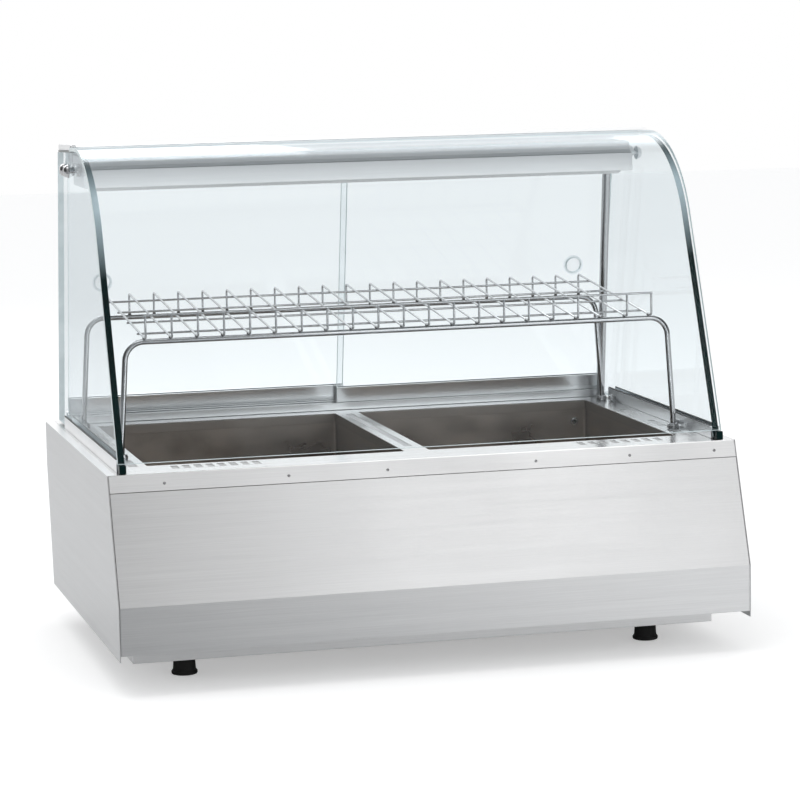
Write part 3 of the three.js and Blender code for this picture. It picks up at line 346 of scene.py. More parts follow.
def grained(name, colour, roughness, grain, depth, change=0.15):
    """A moulded or cast surface with a fine grain."""
    look = Look(name)
    speckle = look.noise(grain, detail=2.0)
    clouds = look.noise(25.0, detail=3.0)
    look.sockets(Base_Color=look.blend(clouds, *shades(colour, change)),
                 Roughness=look.spread(clouds, roughness - 0.08, roughness + 0.08),
                 Normal=look.bump(speckle, depth))
    return look.material


def perforated(name, colour, pitch):
    """Sheet punched with a fine square grid of round holes, painted near black: painted shade for what lies
    below them.
    """
    look = Look(name)
    cells = look.node("TexVoronoi", {"voronoi_dimensions": "2D"}, Scale=1 / pitch, Randomness=0,
                      Vector=look.place())
    web = look.spread(cells.outputs["Distance"], 0, 1, 0.27, 0.33)
    clouds = look.noise(60.0)
    sheet = look.blend(clouds, *shades(colour, 0.12))
    # Painted shade: the holes are painted near black
    hole_shade = (0.05, 0.048, 0.045)
    look.sockets(Base_Color=look.blend(web, hole_shade, sheet), Roughness=look.spread(clouds, 0.34, 0.48),
                 Normal=look.bump(web, 0.0003), Metallic=1.0)
    return look.material


def heated(name, colour, tint, roughness):
    """Steel darkened by heat, mottled, with a straw tint in its stains."""
    look = Look(name)
    lines = look.noise(700.0, (0.02, 1, 1), detail=3.0)
    stains = look.noise(14.0, (1, 1, 1.8), detail=6.0, rough=0.6)
    plain = look.blend(look.spread(stains, 0, 1), *shades(colour, 0.22))
    look.sockets(Base_Color=look.blend(look.spread(stains, 0, 0.5, 0.55, 0.75), plain, tint),
                 Roughness=look.spread(stains, roughness - 0.1, roughness + 0.12),
                 Normal=look.bump(lines, 0.00005), Metallic=1.0)
    return look.material


def clear(name, passed, head_on, grazing, haze=0.02, crown=0.0):
    """A clear pane seen through its face: mostly let through, a little mirrored, faint smears in the shine.
    The crown is what is mirrored more where the curved pane runs to the roof."""
    look = Look(name)
    smears = look.noise(9.0, (1, 1, 0.4), detail=5.0)
    through = look.node("BsdfTransparent", Color=passed)
    shine = look.node("BsdfGlossy", Color=GLASS_SHINE, Roughness=look.spread(smears, haze, haze + 0.05))
    slant = look.node("LayerWeight", Blend=0.5)
    steep = look.maths("POWER", slant.outputs["Facing"], 5.0)
    mirrored = look.maths("ADD", look.maths("MULTIPLY", steep, grazing), head_on)
    if crown:
        mirrored = look.maths("ADD", mirrored, look.spread(look.along("Z"), 0, crown, *CROWN_FADE))
    look.ends_in(look.either(mirrored, through.outputs["BSDF"], shine.outputs["BSDF"]))
    look.tree.nodes.remove(look.shader)
    return look.material


def edge_glass(name, dark, light, roughness, crown=None):
    """The ground edge of a pane, green by its depth. It can be painted paler high up, where the edge turns
    level, and brighter above that: a painted reflection and a painted highlight.
    """
    look = Look(name)
    depth = look.noise(30.0, (0.2, 1, 1), detail=3.0)
    shown = look.blend(look.spread(depth, 0, 1), dark, light)
    # Painted reflection and painted highlight: the edge paler, then brighter, high up
    if crown:
        height = look.along("Z")
        shown = look.blend(look.spread(height, 0, 1, *EDGE_PAINTED_REFLECTION), shown, crown)
        shown = look.blend(look.spread(height, 0, 0.85, *EDGE_PAINTED_HIGHLIGHT), shown, light)
    look.sockets(Base_Color=shown, Roughness=look.spread(depth, roughness, roughness + 0.1), IOR=1.12)
    return look.material


STEEL = (0.7, 0.705, 0.71)
MATERIALS = {
    "steel_x": brushed("steel_along_x", STEEL, 0.33, "X"),
    "steel_y": brushed("steel_along_y", STEEL, 0.33, "Y"),
    "deck": brushed("deck_steel", (0.84, 0.845, 0.85), 0.2, "X", fine=1100.0, change=0.06, cloud=0.08,
                    duller=(DECK_FADE, 0.2), skirt=(0.42, 0.38, 0.35)),
    "perforated": perforated("perforated_steel", (0.55, 0.55, 0.555), 0.0021),
    "well": heated("well_steel", (0.47, 0.425, 0.39), (0.39, 0.32, 0.26), 0.34),
    "chrome": polished("chrome_plate", (0.58, 0.58, 0.59), 0.05),
    "rivet": polished("rivet_steel", (0.4, 0.4, 0.41), 0.3),
    "alu": brushed("satin_aluminium", (0.86, 0.87, 0.88), 0.32, "X", fine=1300.0, change=0.05),
    # The housing is painted darker towards its top: painted shade where the roof shades its front
    "housing": brushed("housing_aluminium", (0.92, 0.92, 0.925), 0.55, "X", change=0.05, metallic=0.1,
                       upper=(HOUSING_PAINTED_SHADE, (0.55, 0.55, 0.56))),
    "roof": brushed("roof_aluminium", (0.9, 0.905, 0.91), 0.5, "X", change=0.04, metallic=0.25),
    "dark_metal": grained("oxidised_metal", (0.06, 0.056, 0.052), 0.5, 800.0, 0.0001, 0.3),
    "glass": clear("clear_glass", GLASS_PASSES, 0.02, 0.5),
    "front_pane": clear("curved_glass", GLASS_PASSES, 0.008, 0.92, crown=0.16),
    # The dark edge is painted paler and brighter high up: painted reflection and painted highlight
    "edge": edge_glass("dark_green_edge", (0.001, 0.006, 0.006), (0.002, 0.014, 0.014), 0.15,
                       (0.4, 0.47, 0.5)),
    "pale_edge": edge_glass("pale_green_edge", (0.6, 0.69, 0.7), (0.78, 0.85, 0.86), 0.12),
    "rubber": grained("black_rubber", (0.006, 0.006, 0.006), 0.75, 1500.0, 0.0001),
    "black": grained("black_plastic", (0.014, 0.014, 0.015), 0.42, 2500.0, 0.00005),
    "pull": clear("milky_plastic", (0.955, 0.965, 0.97), 0.05, 0.5, 0.12),
    "quartz": clear("quartz_tube", (0.86, 0.8, 0.72), 0.06, 0.6, 0.05),
    "ceramic": grained("unglazed_ceramic", (0.72, 0.69, 0.63), 0.7, 1200.0, 0.0001, 0.08),
    "mark": grained("white_print", (0.8, 0.8, 0.8), 0.5, 2000.0, 0.00001, 0.04),
    "gasket": grained("dark_gasket", (0.06, 0.062, 0.063), 0.6, 1500.0, 0.00005),
    # Dark grey for the gap under the roof's ends: painted shade
    "gap_shade": grained("grey_gap_shade", (0.3, 0.31, 0.31), 0.55, 1500.0, 0.00005),
}


# Making pieces

def piece(name, mesh_or_bmesh, materials, body, slot, *nodes):
    """A new object from a bmesh, with its looks, its body and the nodes it stands for. The slot is not used.
    """
    mesh = mesh_or_bmesh
    if isinstance(mesh_or_bmesh, bmesh.types.BMesh):
        mesh = bpy.data.meshes.new(name)
        bmesh.ops.recalc_face_normals(mesh_or_bmesh, faces=mesh_or_bmesh.faces)
        mesh_or_bmesh.to_mesh(mesh)
        mesh_or_bmesh.free()
    made = bpy.data.objects.new(name, mesh)
    bpy.context.collection.objects.link(made)
    for material in materials:
        mesh.materials.append(MATERIALS[material])
    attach(made, body)
    if nodes:
        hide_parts(*nodes)
    return made


def smooth(obj, angle=35):
    """Shades the faces smooth but for corners sharper than the angle."""
    for face in obj.data.polygons:
        face.use_smooth = True
    mesh = bmesh.new()
    mesh.from_mesh(obj.data)
    for edge in mesh.edges:
        sharp = len(edge.link_faces) == 2 and edge.calc_face_angle() > math.radians(angle)
        edge.smooth = not sharp
    mesh.to_mesh(obj.data)
    mesh.free()
    return obj


def rounded_edges(obj, width=EDGE_ROUND):
    bevel = obj.modifiers.new("rounded_edges", "BEVEL")
    bevel.width = width
    bevel.segments = 2
    bevel.limit_method = "ANGLE"
    bevel.angle_limit = math.radians(30)
    bevel.harden_normals = True
    bevel.use_clamp_overlap = True
    return obj


def lathe(bm, profile, centre, axis, segments):
    """Turns (radius, height) pairs round an axis through a centre. The profile starts and ends at radius 0
    or closes on itself."""
    axis = Vector(axis).normalized()
    side = axis.orthogonal().normalized()
    other = axis.cross(side)
    rings = []
    for radius, height in profile:
        middle = Vector(centre) + axis * height
        if radius == 0:
            rings.append([bm.verts.new(middle)])
            continue
        rings.append([bm.verts.new(middle + side * radius * math.cos(2 * math.pi * i / segments)
                                   + other * radius * math.sin(2 * math.pi * i / segments))
                      for i in range(segments)])
    pairs = list(zip(rings, rings[1:]))
    if profile[0][0] > 0:
        pairs.append((rings[-1], rings[0]))
    for low, high in pairs:
        for i in range(segments):
            j = (i + 1) % segments
            corners = [low[i % len(low)], low[j % len(low)], high[j % len(high)], high[i % len(high)]]
            kept = list(dict.fromkeys(corners))
            if len(kept) > 2:
                bm.faces.new(kept)


def sweep(bm, points, radius, sides):
    """A round rod along points, closed at both ends."""
    points = [Vector(p) for p in points]
    ahead = (points[1] - points[0]).normalized()
    side = ahead.orthogonal().normalized()
    rings = []
    for i, point in enumerate(points):
        before = (point - points[i - 1]).normalized() if i else ahead
        after = (points[i + 1] - point).normalized() if i + 1 < len(points) else before
        ahead = (before + after).normalized()
        side = (side - ahead * side.dot(ahead)).normalized()
        up = ahead.cross(side)
        rings.append([bm.verts.new(point + (side * math.cos(2 * math.pi * k / sides)
                                            + up * math.sin(2 * math.pi * k / sides)) * radius)
                      for k in range(sides)])
    for low, high in zip(rings, rings[1:]):
        for k in range(sides):
            j = (k + 1) % sides
            bm.faces.new((low[k], low[j], high[j], high[k]))
    bm.faces.new(rings[0][::-1])
    bm.faces.new(rings[-1])


def rounded_path(corners, radius, steps):
    """Corner points with each inner corner turned into an arc."""
    corners = [Vector(c) for c in corners]
    path = [corners[0]]
    for before, corner, after in zip(corners, corners[1:], corners[2:]):
        into = (corner - before).normalized()
        out = (after - corner).normalized()
        turn = into.angle(out)
        start = corner - into * radius * math.tan(turn / 2)
        inward = (out - into * math.cos(turn)).normalized()
        for i in range(steps + 1):
            angle = turn * i / steps
            path.append(start + into * radius * math.sin(angle) + inward * radius * (1 - math.cos(angle)))
    path.append(corners[-1])
    return path


def box_mesh(bm, low, high):
    verts = [bm.verts.new((x, y, z)) for x in (low[0], high[0]) for y in (low[1], high[1])
             for z in (low[2], high[2])]
    for face in ((0, 1, 3, 2), (4, 6, 7, 5), (0, 4, 5, 1), (2, 3, 7, 6), (0, 2, 6, 4), (1, 5, 7, 3)):
        bm.faces.new([verts[i] for i in face])


def slab(bm, outline, x0, x1, edge_slots=None, face_slot=0):
    """Extrudes a (y, z) outline along X. The two flat faces take face_slot, each side its own slot or 0."""
    low = [bm.verts.new((x0, y, z)) for y, z in outline]
    high = [bm.verts.new((x1, y, z)) for y, z in outline]
    bm.faces.new(low[::-1]).material_index = face_slot
    bm.faces.new(high).material_index = face_slot
    for i in range(len(outline)):
        j = (i + 1) % len(outline)
        side = bm.faces.new((low[i], low[j], high[j], high[i]))
        side.material_index = edge_slots[i] if edge_slots else 0


# Carried-over nodes: looks and rounded edges

def dress(nodes, material, width):
    for node in nodes:
        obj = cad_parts[node]
        obj.data.materials.clear()
        obj.data.materials.append(MATERIALS[material])
        weld = obj.modifiers.new("joined_corners", "WELD")
        weld.merge_threshold = SAME_POINT
        rounded_edges(obj, width)


def both(*names):
    return [f"{name}_{side}" for name in names for side in ("left", "right")]


def corners_of(name):
    return [f"{name}_{end}_{side}" for end in ("front", "rear") for side in ("left", "right")]


def middle(node):
    low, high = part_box(node)
    return (low + high) / 2


dress(["front_panel", "rear_panel", "base_pan"], "steel_x", 0.0004)
dress(both("side_panel"), "steel_y", 0.0004)
dress(["deck_plate"], "deck", 0.0004)
dress(both("well_tub"), "well", 0.0003)
dress(["roof_profile", "glass_hinge_leaf"], "roof", 0.0004)
dress(["door_track_bottom", "door_track_top"], "alu", 0.0004)
dress(both("glass_channel", "door_rail"), "alu", 0.0003)
dress(["lamp_housing"], "housing", 0.0003)
dress(["lamp_reflector", "hinge_pin", "overflow_fitting"], "chrome", 0.0002)
dress(both("lamp_holder"), "ceramic", 0.0008)
dress(both("well_element") + ["thermostat"], "dark_metal", 0.0003)
dress(["switch_body", "switch_rocker"], "black", 0.0005)
dress(corners_of("shelf_socket"), "chrome", 0.0004)


# Glass

def roof_line(y):
    """The height of the side glasses' pitched top edge at a depth."""
    return GLASS_REAR_TOP.y + (GLASS_REAR_TOP.x - y) * math.tan(ROOF_PITCH)


def glass_line(offset, from_z):
    """The curved front, offset outwards, from a height to where it meets the pitched roof line."""
    low = Vector((GLASS_FRONT + GLASS_LOW_RADIUS * math.cos(GLASS_START),
                  GLASS_LOW - GLASS_LOW_RADIUS * math.sin(GLASS_START)))
    reach = GLASS_LOW_RADIUS - GLASS_CROWN_RADIUS
    rise = roof_line(low.x) - low.y
    shoulder = ROOF_PITCH + math.asin((rise * math.cos(ROOF_PITCH) - GLASS_CROWN_RADIUS) / reach)
    crown = low + Vector((-reach * math.cos(shoulder), reach * math.sin(shoulder)))
    first = math.asin((from_z - low.y) / (GLASS_LOW_RADIUS + offset))
    points = []
    for centre, radius, start, end, steps in (
            (low, GLASS_LOW_RADIUS, first, shoulder, GLASS_STEPS[0]),
            (crown, GLASS_CROWN_RADIUS, shoulder, math.pi / 2 + ROOF_PITCH, GLASS_STEPS[1])):
        for step in range(0 if centre is low else 1, steps + 1):
            angle = start + (end - start) * step / steps
            points.append((centre.x - (radius + offset) * math.cos(angle),
                           centre.y + (radius + offset) * math.sin(angle)))
    return points


def side_glass(side):
    low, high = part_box(f"side_glass_{side}")
    curve = glass_line(0, GLASS_LOW)
    outline = [*curve, tuple(GLASS_REAR_TOP), (high.y, GLASS_LOW)]
    dark_edge, pale_edge = 1, 2
    edges = [dark_edge] * (len(curve) - 1) + [pale_edge] * 3
    bm = bmesh.new()
    slab(bm, outline, low.x, high.x, edges)
    pane = piece(f"side_pane_{side}", bm, ("glass", "edge", "pale_edge"), "case", "glass",
                 f"side_glass_{side}")
    rounded_edges(smooth(pane), PANE_ROUND)


def front_glass():
    low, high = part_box("front_glass")
    inner = glass_line(FRONT_GLASS_GAP, FRONT_GLASS_FOOT)
    outer = glass_line(FRONT_GLASS_GAP + FRONT_GLASS, FRONT_GLASS_FOOT)
    along = Vector((math.cos(ROOF_PITCH), -math.sin(ROOF_PITCH)))
    behind = 0.0002
    ends = []
    for line in (inner, outer):
        start = Vector(line[-1])
        ends.append(start + along * (high.y - behind - start.x) / along.x)
    outline = [*inner, tuple(ends[0]), tuple(ends[1]), *outer[::-1]]
    face, pale_edge = 0, 1
    edges = ([face] * len(inner) + [pale_edge]) * 2
    bm = bmesh.new()
    slab(bm, outline, low.x, high.x, edges, pale_edge)
    pane = piece("curved_front_pane", bm, ("front_pane", "pale_edge"), "lift_up_glass", "glass",
                 "front_glass")
    rounded_edges(smooth(pane), PANE_ROUND)


def door_glass(side):
    node = f"door_glass_{side}"
    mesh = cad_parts[node].data.copy()
    mesh.materials.clear()
    out = Vector((0, math.cos(REAR_LEAN), math.sin(REAR_LEAN)))
    pane = piece(f"door_pane_{side}", mesh, ("glass", "pale_edge"), f"{side}_door", "glass", node)
    bm = bmesh.new()
    bm.from_mesh(mesh)
    bmesh.ops.remove_doubles(bm, verts=bm.verts, dist=SAME_POINT)
    bmesh.ops.dissolve_limit(bm, angle_limit=math.radians(1), verts=bm.verts, edges=bm.edges)
    for face in bm.faces:
        face.material_index = 0 if abs(face.normal.dot(out)) > 0.95 else 1
    bm.to_mesh(mesh)
    bm.free()
    rounded_edges(smooth(pane))


def glass_rest(side):
    """A block under the front pane's corner, with a tongue under the side pane."""
    low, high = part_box(f"glass_rest_{side}")
    block, lean, tongue, inset = 0.0075, 0.0006, 0.002, 0.0008
    back = low.y + block
    tongue_top = low.z + tongue
    outline = [(low.y, low.z), (low.y + lean, high.z), (back, high.z), (back, tongue_top),
               (high.y, tongue_top), (high.y, low.z)]
    bm = bmesh.new()
    slab(bm, outline, low.x + inset, high.x - inset)
    rounded_edges(piece(f"rest_block_{side}", bm, ("edge",), "case", "rubber", f"glass_rest_{side}"))


for word in ("left", "right"):
    side_glass(word)
    door_glass(word)
    glass_rest(word)
front_glass()


# Ends of the roof

def roof_gap_shade(side):
    """A dark strip between the roof's end and the top edge of the side glass: painted shade in the gap there.
    """
    low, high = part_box(f"side_glass_{side}")
    leaf, lift, thick, inset, wide = 0.004, 0.0002, 0.0022, 0.001, 0.001
    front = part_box("roof_profile")[0].y + leaf
    rear = GLASS_REAR_TOP.x
    outline = [(front, roof_line(front) + lift), (front, roof_line(front) + lift + thick),
               (rear, roof_line(rear) + lift + thick), (rear, roof_line(rear) + lift)]
    if side == "right":
        x0, x1 = high.x - inset - wide, high.x - inset
    else:
        x0, x1 = low.x + inset, low.x + inset + wide
    bm = bmesh.new()
    slab(bm, outline, x0, x1)
    # Painted shade: a dark strip put where the gap under the roof's end lies in shade
    piece(f"roof_gap_shade_{side}", bm, ("gap_shade",), "case", "rubber")


def roof_end(side):
    """A thin plate that closes the hollow end of the roof, with the end of the hinge pin in it."""
    low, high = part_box("roof_profile")
    pin = middle("hinge_pin")
    out = 1 if side == "right" else -1
    x0, x1 = sorted((out * (high.x + TOUCH_GAP), out * (high.x + ROOF_END)))
    rise = Vector((math.sin(ROOF_PITCH), math.cos(ROOF_PITCH)))

    def spot(y, up):
        return tuple(Vector((y, roof_line(y))) + rise * up)

    front = low.y - 0.003
    rear = GLASS_REAR_TOP.x
    bottom, top = 0.0027, 0.0092
    outline = [spot(front + 0.002, bottom), spot(front, 0.0045), spot(front + 0.001, 0.0078),
               spot(front + 0.004, top), spot(rear - 0.001, top), spot(rear, 0.0082), spot(rear, bottom)]
    bm = bmesh.new()
    slab(bm, outline, x0, x1)
    rounded_edges(piece(f"roof_end_{side}", bm, ("alu",), "case", "aluminium"), 0.0002)
    pin_radius = 0.0017
    dot = bmesh.new()
    lathe(dot, [(0, 0), (pin_radius, 0), (pin_radius, 0.0002), (0, 0.0003)],
          (out * (high.x + ROOF_END + 0.00002), pin.y, pin.z), (out, 0, 0), 24)
    piece(f"pin_end_{side}", dot, ("black",), "case", "dark_metal")


for word in ("left", "right"):
    roof_gap_shade(word)
    roof_end(word)


# Turned pieces, smooth and with rounded rims

def foot(name):
    low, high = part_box(name)
    centre = Vector(((low.x + high.x) / 2, (low.y + high.y) / 2, low.z))
    wide = (high.x - low.x) / 2
    tall = high.z - low.z
    top = wide * 0.8
    groove = wide * 0.9
    profile = [(0, 0.0006), (wide * 0.45, 0.0006), (wide * 0.5, 0), (wide - 0.0015, 0),
               (wide - 0.0004, 0.0004), (wide, 0.0015), (wide, 0.0035), (wide - 0.0005, 0.0042),
               (groove, 0.0052), (groove - 0.0003, 0.0062), (top, tall - 0.001),
               (top - 0.0008, tall), (0, tall)]
    bm = bmesh.new()
    lathe(bm, profile, centre, (0, 0, 1), 48)
    smooth(piece(f"rubber_{name}", bm, ("rubber",), "case", "rubber", name))


def crosswise(name):
    """For a turned node with its axis along X: which way is out, the axis, and its inner and outer end."""
    low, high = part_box(name)
    axis = Vector((0, (low.y + high.y) / 2, (low.z + high.z) / 2))
    return (1, axis, low.x, high.x) if high.x > 0 else (-1, axis, -high.x, -low.x)


def housing_bolt(name):
    """A screw head in the housing, a collar between housing and glass, and a washer with a domed cap."""
    out, axis, inside, tip = crosswise(name)
    low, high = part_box(name)
    washer = (high.y - low.y) / 2
    nut = washer * 0.88
    glass_in, glass_out = (corner.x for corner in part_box("side_glass_right"))
    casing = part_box("lamp_housing")[1].x
    clear_by, chamfer, bevel = 0.0003, 0.0004, 0.0003
    shank, head, plate_thick = 0.003, 0.0022, 0.0012
    base = glass_out + clear_by
    dome = tip - base - plate_thick
    profile = [(0, inside), (nut - 0.0005, inside), (nut, inside + 0.0005), (nut, inside + head),
               (shank, inside + head), (shank, casing + clear_by), (nut - chamfer, casing + clear_by),
               (nut, casing + 2 * clear_by), (nut, glass_in - 2 * clear_by),
               (nut - chamfer, glass_in - clear_by), (shank, glass_in - clear_by), (shank, base),
               (washer - bevel, base), (washer, base + bevel), (washer, base + 0.0009),
               (washer - bevel, base + plate_thick)]
    steps = 10
    for i in range(steps + 1):
        angle = math.pi / 2 * i / steps
        profile.append((nut * math.cos(angle) ** 0.6 if i < steps else 0,
                        base + plate_thick + dome * math.sin(angle) ** 1.3))
    bm = bmesh.new()
    lathe(bm, profile, axis, (out, 0, 0), 40)
    # Painted light: the caps on the right take the pale roof look in place of chrome, to look lit
    smooth(piece(f"cap_{name}", bm, ("chrome" if out < 0 else "roof",), "case", "chrome", name))


def clamp_knob(name):
    out, axis, inner, tip = crosswise(name)
    low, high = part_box(name)
    wide = (high.z - low.z) / 2
    wall = tip - 0.0015
    length = wall - inner
    shank = 0.002
    profile = [(0, inner), (wide * 0.55, inner), (wide * 0.8, inner + length * 0.06),
               (wide * 0.97, inner + length * 0.2), (wide, inner + length * 0.35),
               (wide * 0.97, inner + length * 0.62), (wide * 0.75, inner + length * 0.8),
               (wide * 0.6, wall), (shank, wall), (shank, tip), (0, tip)]
    bm = bmesh.new()
    lathe(bm, profile, axis, (out, 0, 0), 32)
    smooth(piece(f"turned_{name}", bm, ("chrome",), "case", "chrome", name), 60)


def finger_pull(side):
    name = f"finger_pull_{side}"
    centre = middle(name)
    low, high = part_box(name)
    wide = (high.x - low.x) / 2
    out = Vector((0, math.cos(REAR_LEAN), math.sin(REAR_LEAN)))
    pane = 0.002
    face = pane + 0.0003
    edge = face + 0.0012
    dish = edge - 0.0016
    neck = wide * 0.76
    half = [(0, dish), (neck * 0.7, dish + 0.0001), (neck * 0.92, dish + 0.0006),
            (wide - 0.0022, edge - 0.0001), (wide - 0.0012, edge), (wide - 0.0004, edge - 0.0003),
            (wide, edge - 0.0008), (wide, face), (neck, face)]
    profile = [(r, -h) for r, h in half] + half[::-1]
    bm = bmesh.new()
    lathe(bm, profile, centre, out, 48)
    smooth(piece(f"dished_pull_{side}", bm, ("pull",), f"{side}_door", "clear_plastic", name))


def conduit_post():
    """A leaning tube that stands in a collar on the deck."""
    name = "conduit_post"
    low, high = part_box(name)
    bore, tube, collar, rim = 0.0035, 0.0051, 0.0068, 0.0004
    play, foot_gap, top_gap = 0.0002, 0.0015, 0.0012
    foot_place = Vector((high.x - collar, high.y - collar, low.z))
    lean_in = math.radians(1.35)
    ahead = Vector((-math.sin(lean_in), -math.sin(REAR_LEAN), math.cos(REAR_LEAN))).normalized()
    length = (high.z - low.z - top_gap) / ahead.z
    bm = bmesh.new()
    lathe(bm, [(bore, foot_gap), (tube, foot_gap), (tube, length - rim), (tube - rim, length),
               (bore, length)], foot_place, ahead, 40)
    lathe(bm, [(tube + play, 0), (collar, 0), (collar, 0.0022), (collar - rim, 0.0028),
               (tube + 0.0006, 0.0048), (tube + play, 0.005)], foot_place, (0, 0, 1), 40)
    smooth(piece("chrome_post", bm, ("chrome",), "case", "chrome", name))


for corner in corners_of("foot"):
    foot(corner)
for corner in corners_of("housing_bolt"):
    housing_bolt(corner)
for corner in corners_of("clamp_knob"):
    clamp_knob(corner)
for word in ("left", "right"):
    finger_pull(word)
conduit_post()


# Wire shelf

def shelf_tube(end):
    name = f"shelf_{end}_tube"
    low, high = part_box(name)
    radius = (high.y - low.y) / 2
    y = (low.y + high.y) / 2
    foot_x = high.x - radius
    top_x = foot_x - TUBE_SPLAY
    top_z = high.z - radius
    corners = [(-foot_x, y, low.z), (-foot_x, y, TUBE_LEG_END), (-top_x, y, top_z), (top_x, y, top_z),
               (foot_x, y, TUBE_LEG_END), (foot_x, y, low.z)]
    bm = bmesh.new()
    sweep(bm, rounded_path(corners, TUBE_BEND, 10), radius, 20)
    smooth(piece(f"bent_tube_{end}", bm, ("chrome",), "shelf", "chrome", name), 50)


def weld(bm, place):
    lathe(bm, [(0, -WELD_RADIUS * 0.8), (WELD_RADIUS * 0.8, -WELD_RADIUS * 0.4), (WELD_RADIUS, 0),
               (WELD_RADIUS * 0.8, WELD_RADIUS * 0.4), (0, WELD_RADIUS * 0.7)], place, (0, 0, 1), 10)


def shelf_grid():
    front = middle("shelf_front_tube").y
    rear = middle("shelf_rear_tube").y
    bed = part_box("shelf_front_tube")[1].z + WIRE_GAP + WIRE
    crest = bed + SHELF_REAR_RISE
    lip_top = bed + SHELF_LIP
    saddle = front + SADDLE / 2
    lip = front - SADDLE
    end = WIRES_ACROSS[-1]
    bm = bmesh.new()
    for x in WIRES_ACROSS:
        corners = [(x, rear, bed - WIRE), (x, rear, crest), (x, saddle, bed), (x, lip, bed),
                   (x, lip, lip_top)]
        sweep(bm, rounded_path(corners, WIRE_BEND, 4), WIRE, WIRE_SIDES)
    for share in LONG_WIRE_SHARES:
        y = rear - share * (rear - saddle)
        z = crest - share * SHELF_REAR_RISE - 1.5 * WIRE
        sweep(bm, [(-end - WIRE_OVERHANG, y, z), (end + WIRE_OVERHANG, y, z)], WIRE, WIRE_SIDES)
    sweep(bm, [(-end - WIRE, lip, lip_top), (end + WIRE, lip, lip_top)], WIRE, WIRE_SIDES)
    smooth(piece("welded_grid", bm, ("chrome",), "shelf", "chrome", "shelf_grid"), 50)
    beads = bmesh.new()
    for x in WIRES_ACROSS:
        for y in (saddle - SADDLE / 4, rear):
            weld(beads, (x, y, bed - WIRE * 0.9))
    smooth(piece("weld_beads", beads, ("dark_metal",), "shelf", "dark_metal"), 80)


shelf_tube("front")
shelf_tube("rear")
shelf_grid()


# Small details of the base

def trim_rivets():
    slope = (FRONT_TOP - FRONT_KINK).normalized()
    out = Vector((0, -slope.y, slope.x))
    share = (TRIM_RIVET_HEIGHT - FRONT_KINK.y) / (FRONT_TOP.y - FRONT_KINK.y)
    spot = FRONT_KINK.lerp(FRONT_TOP, share)
    bm = bmesh.new()
    for x in TRIM_RIVETS:
        lathe(bm, [(0, -RIVET_SINK), (RIVET_RADIUS, -RIVET_SINK), (RIVET_RADIUS, 0.0001),
                   (RIVET_RADIUS * 0.8, RIVET_RISE * 0.75), (0, RIVET_RISE)], (x, spot.x, spot.y), out, 20)
    smooth(piece("trim_rivets", bm, ("rivet",), "case", "stainless"), 60)


def slot_inserts():
    slots = []
    for side in (-1, 1):
        for i in range(FRONT_SLOT_COUNT):
            x = side * FRONT_SLOT_SPREAD + (i - (FRONT_SLOT_COUNT - 1) / 2) * FRONT_SLOT_PITCH
            slots.append((x, WELL_FRONT - FRONT_SLOT_MARGIN - FRONT_SLOT[1] / 2, *FRONT_SLOT))
        strip = side * (WELL_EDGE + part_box("glass_channel_right")[0].x) / 2
        for share in SIDE_SLOT_SHARES:
            slots.append((strip, WELL_FRONT + share * WELL_LENGTH, *SIDE_SLOT))
    first = WELL_FRONT + DIVIDER_SLOT_MARGINS[0]
    last = WELL_FRONT + WELL_LENGTH - DIVIDER_SLOT_MARGINS[1]
    slots.append((0, (first + last) / 2, DIVIDER_SLOT_WIDTH, last - first))
    top = DECK_TOP - INSERT_DROP
    bm = bmesh.new()
    for x, y, wide, long in slots:
        half = Vector((wide / 2 - INSERT_GAP, long / 2 - INSERT_GAP))
        box_mesh(bm, (x - half.x, y - half.y, top - INSERT_SHEET), (x + half.x, y + half.y, top))
    piece("slot_inserts", bm, ("perforated",), "case", "stainless")


def channel_gaskets(side):
    """Dark strips on the channel's two lips, against the side glass."""
    low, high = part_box(f"glass_channel_{side}")
    glass_low, glass_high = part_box(f"side_glass_{side}")
    tall = 0.0012
    front, rear = low.y + 0.005, high.y - 0.001
    outline = [(front, high.z + TOUCH_GAP), (front + tall, high.z + tall), (rear, high.z + tall),
               (rear, high.z + TOUCH_GAP)]
    bm = bmesh.new()
    for x0, x1 in ((low.x, glass_low.x), (glass_high.x, high.x)):
        slab(bm, outline, x0 + TOUCH_GAP, x1 - TOUCH_GAP)
    piece(f"channel_gaskets_{side}", bm, ("gasket",), "case", "rubber")


trim_rivets()
slot_inserts()
for word in ("left", "right"):
    channel_gaskets(word)


# Lamps: a quartz tube with pinched ends and a wound wire inside

def heat_lamp(end):
    name = f"heat_lamp_{end}"
    low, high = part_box(name)
    centre = (low + high) / 2
    wide = (high.y - low.y) / 2
    shoulder = high.x - LAMP_SHOULDER_IN
    neck = high.x - LAMP_NECK_IN
    half = [(0, high.x), (LAMP_NECK - 0.0006, high.x), (LAMP_NECK, high.x - 0.0006), (LAMP_NECK, neck),
            (LAMP_NECK + 0.0008, neck - 0.003), (wide - 0.0005, shoulder + 0.0012), (wide, shoulder)]
    profile = half + [(r, -x) for r, x in half[::-1]]
    bm = bmesh.new()
    lathe(bm, profile, centre, (1, 0, 0), 28)
    smooth(piece(f"quartz_{name}", bm, ("quartz",), "case", "quartz", name))
    turns = 2 * shoulder / COIL_PITCH
    points = []
    for i in range(int(turns * COIL_STEPS)):
        angle = 2 * math.pi * i / COIL_STEPS
        points.append(centre + Vector((-shoulder + COIL_PITCH * i / COIL_STEPS,
                                       COIL_RADIUS * math.cos(angle), COIL_RADIUS * math.sin(angle))))
    coil = bmesh.new()
    sweep(coil, points, COIL_WIRE, 5)
    smooth(piece(f"coil_{end}", coil, ("dark_metal",), "case", "dark_metal"), 60)


heat_lamp("front")
heat_lamp("rear")


# Controls at the back

def panel_point(origin, x, y, z):
    return origin + PANEL_RIGHT * x + PANEL_UP * y + PANEL_OUT * z


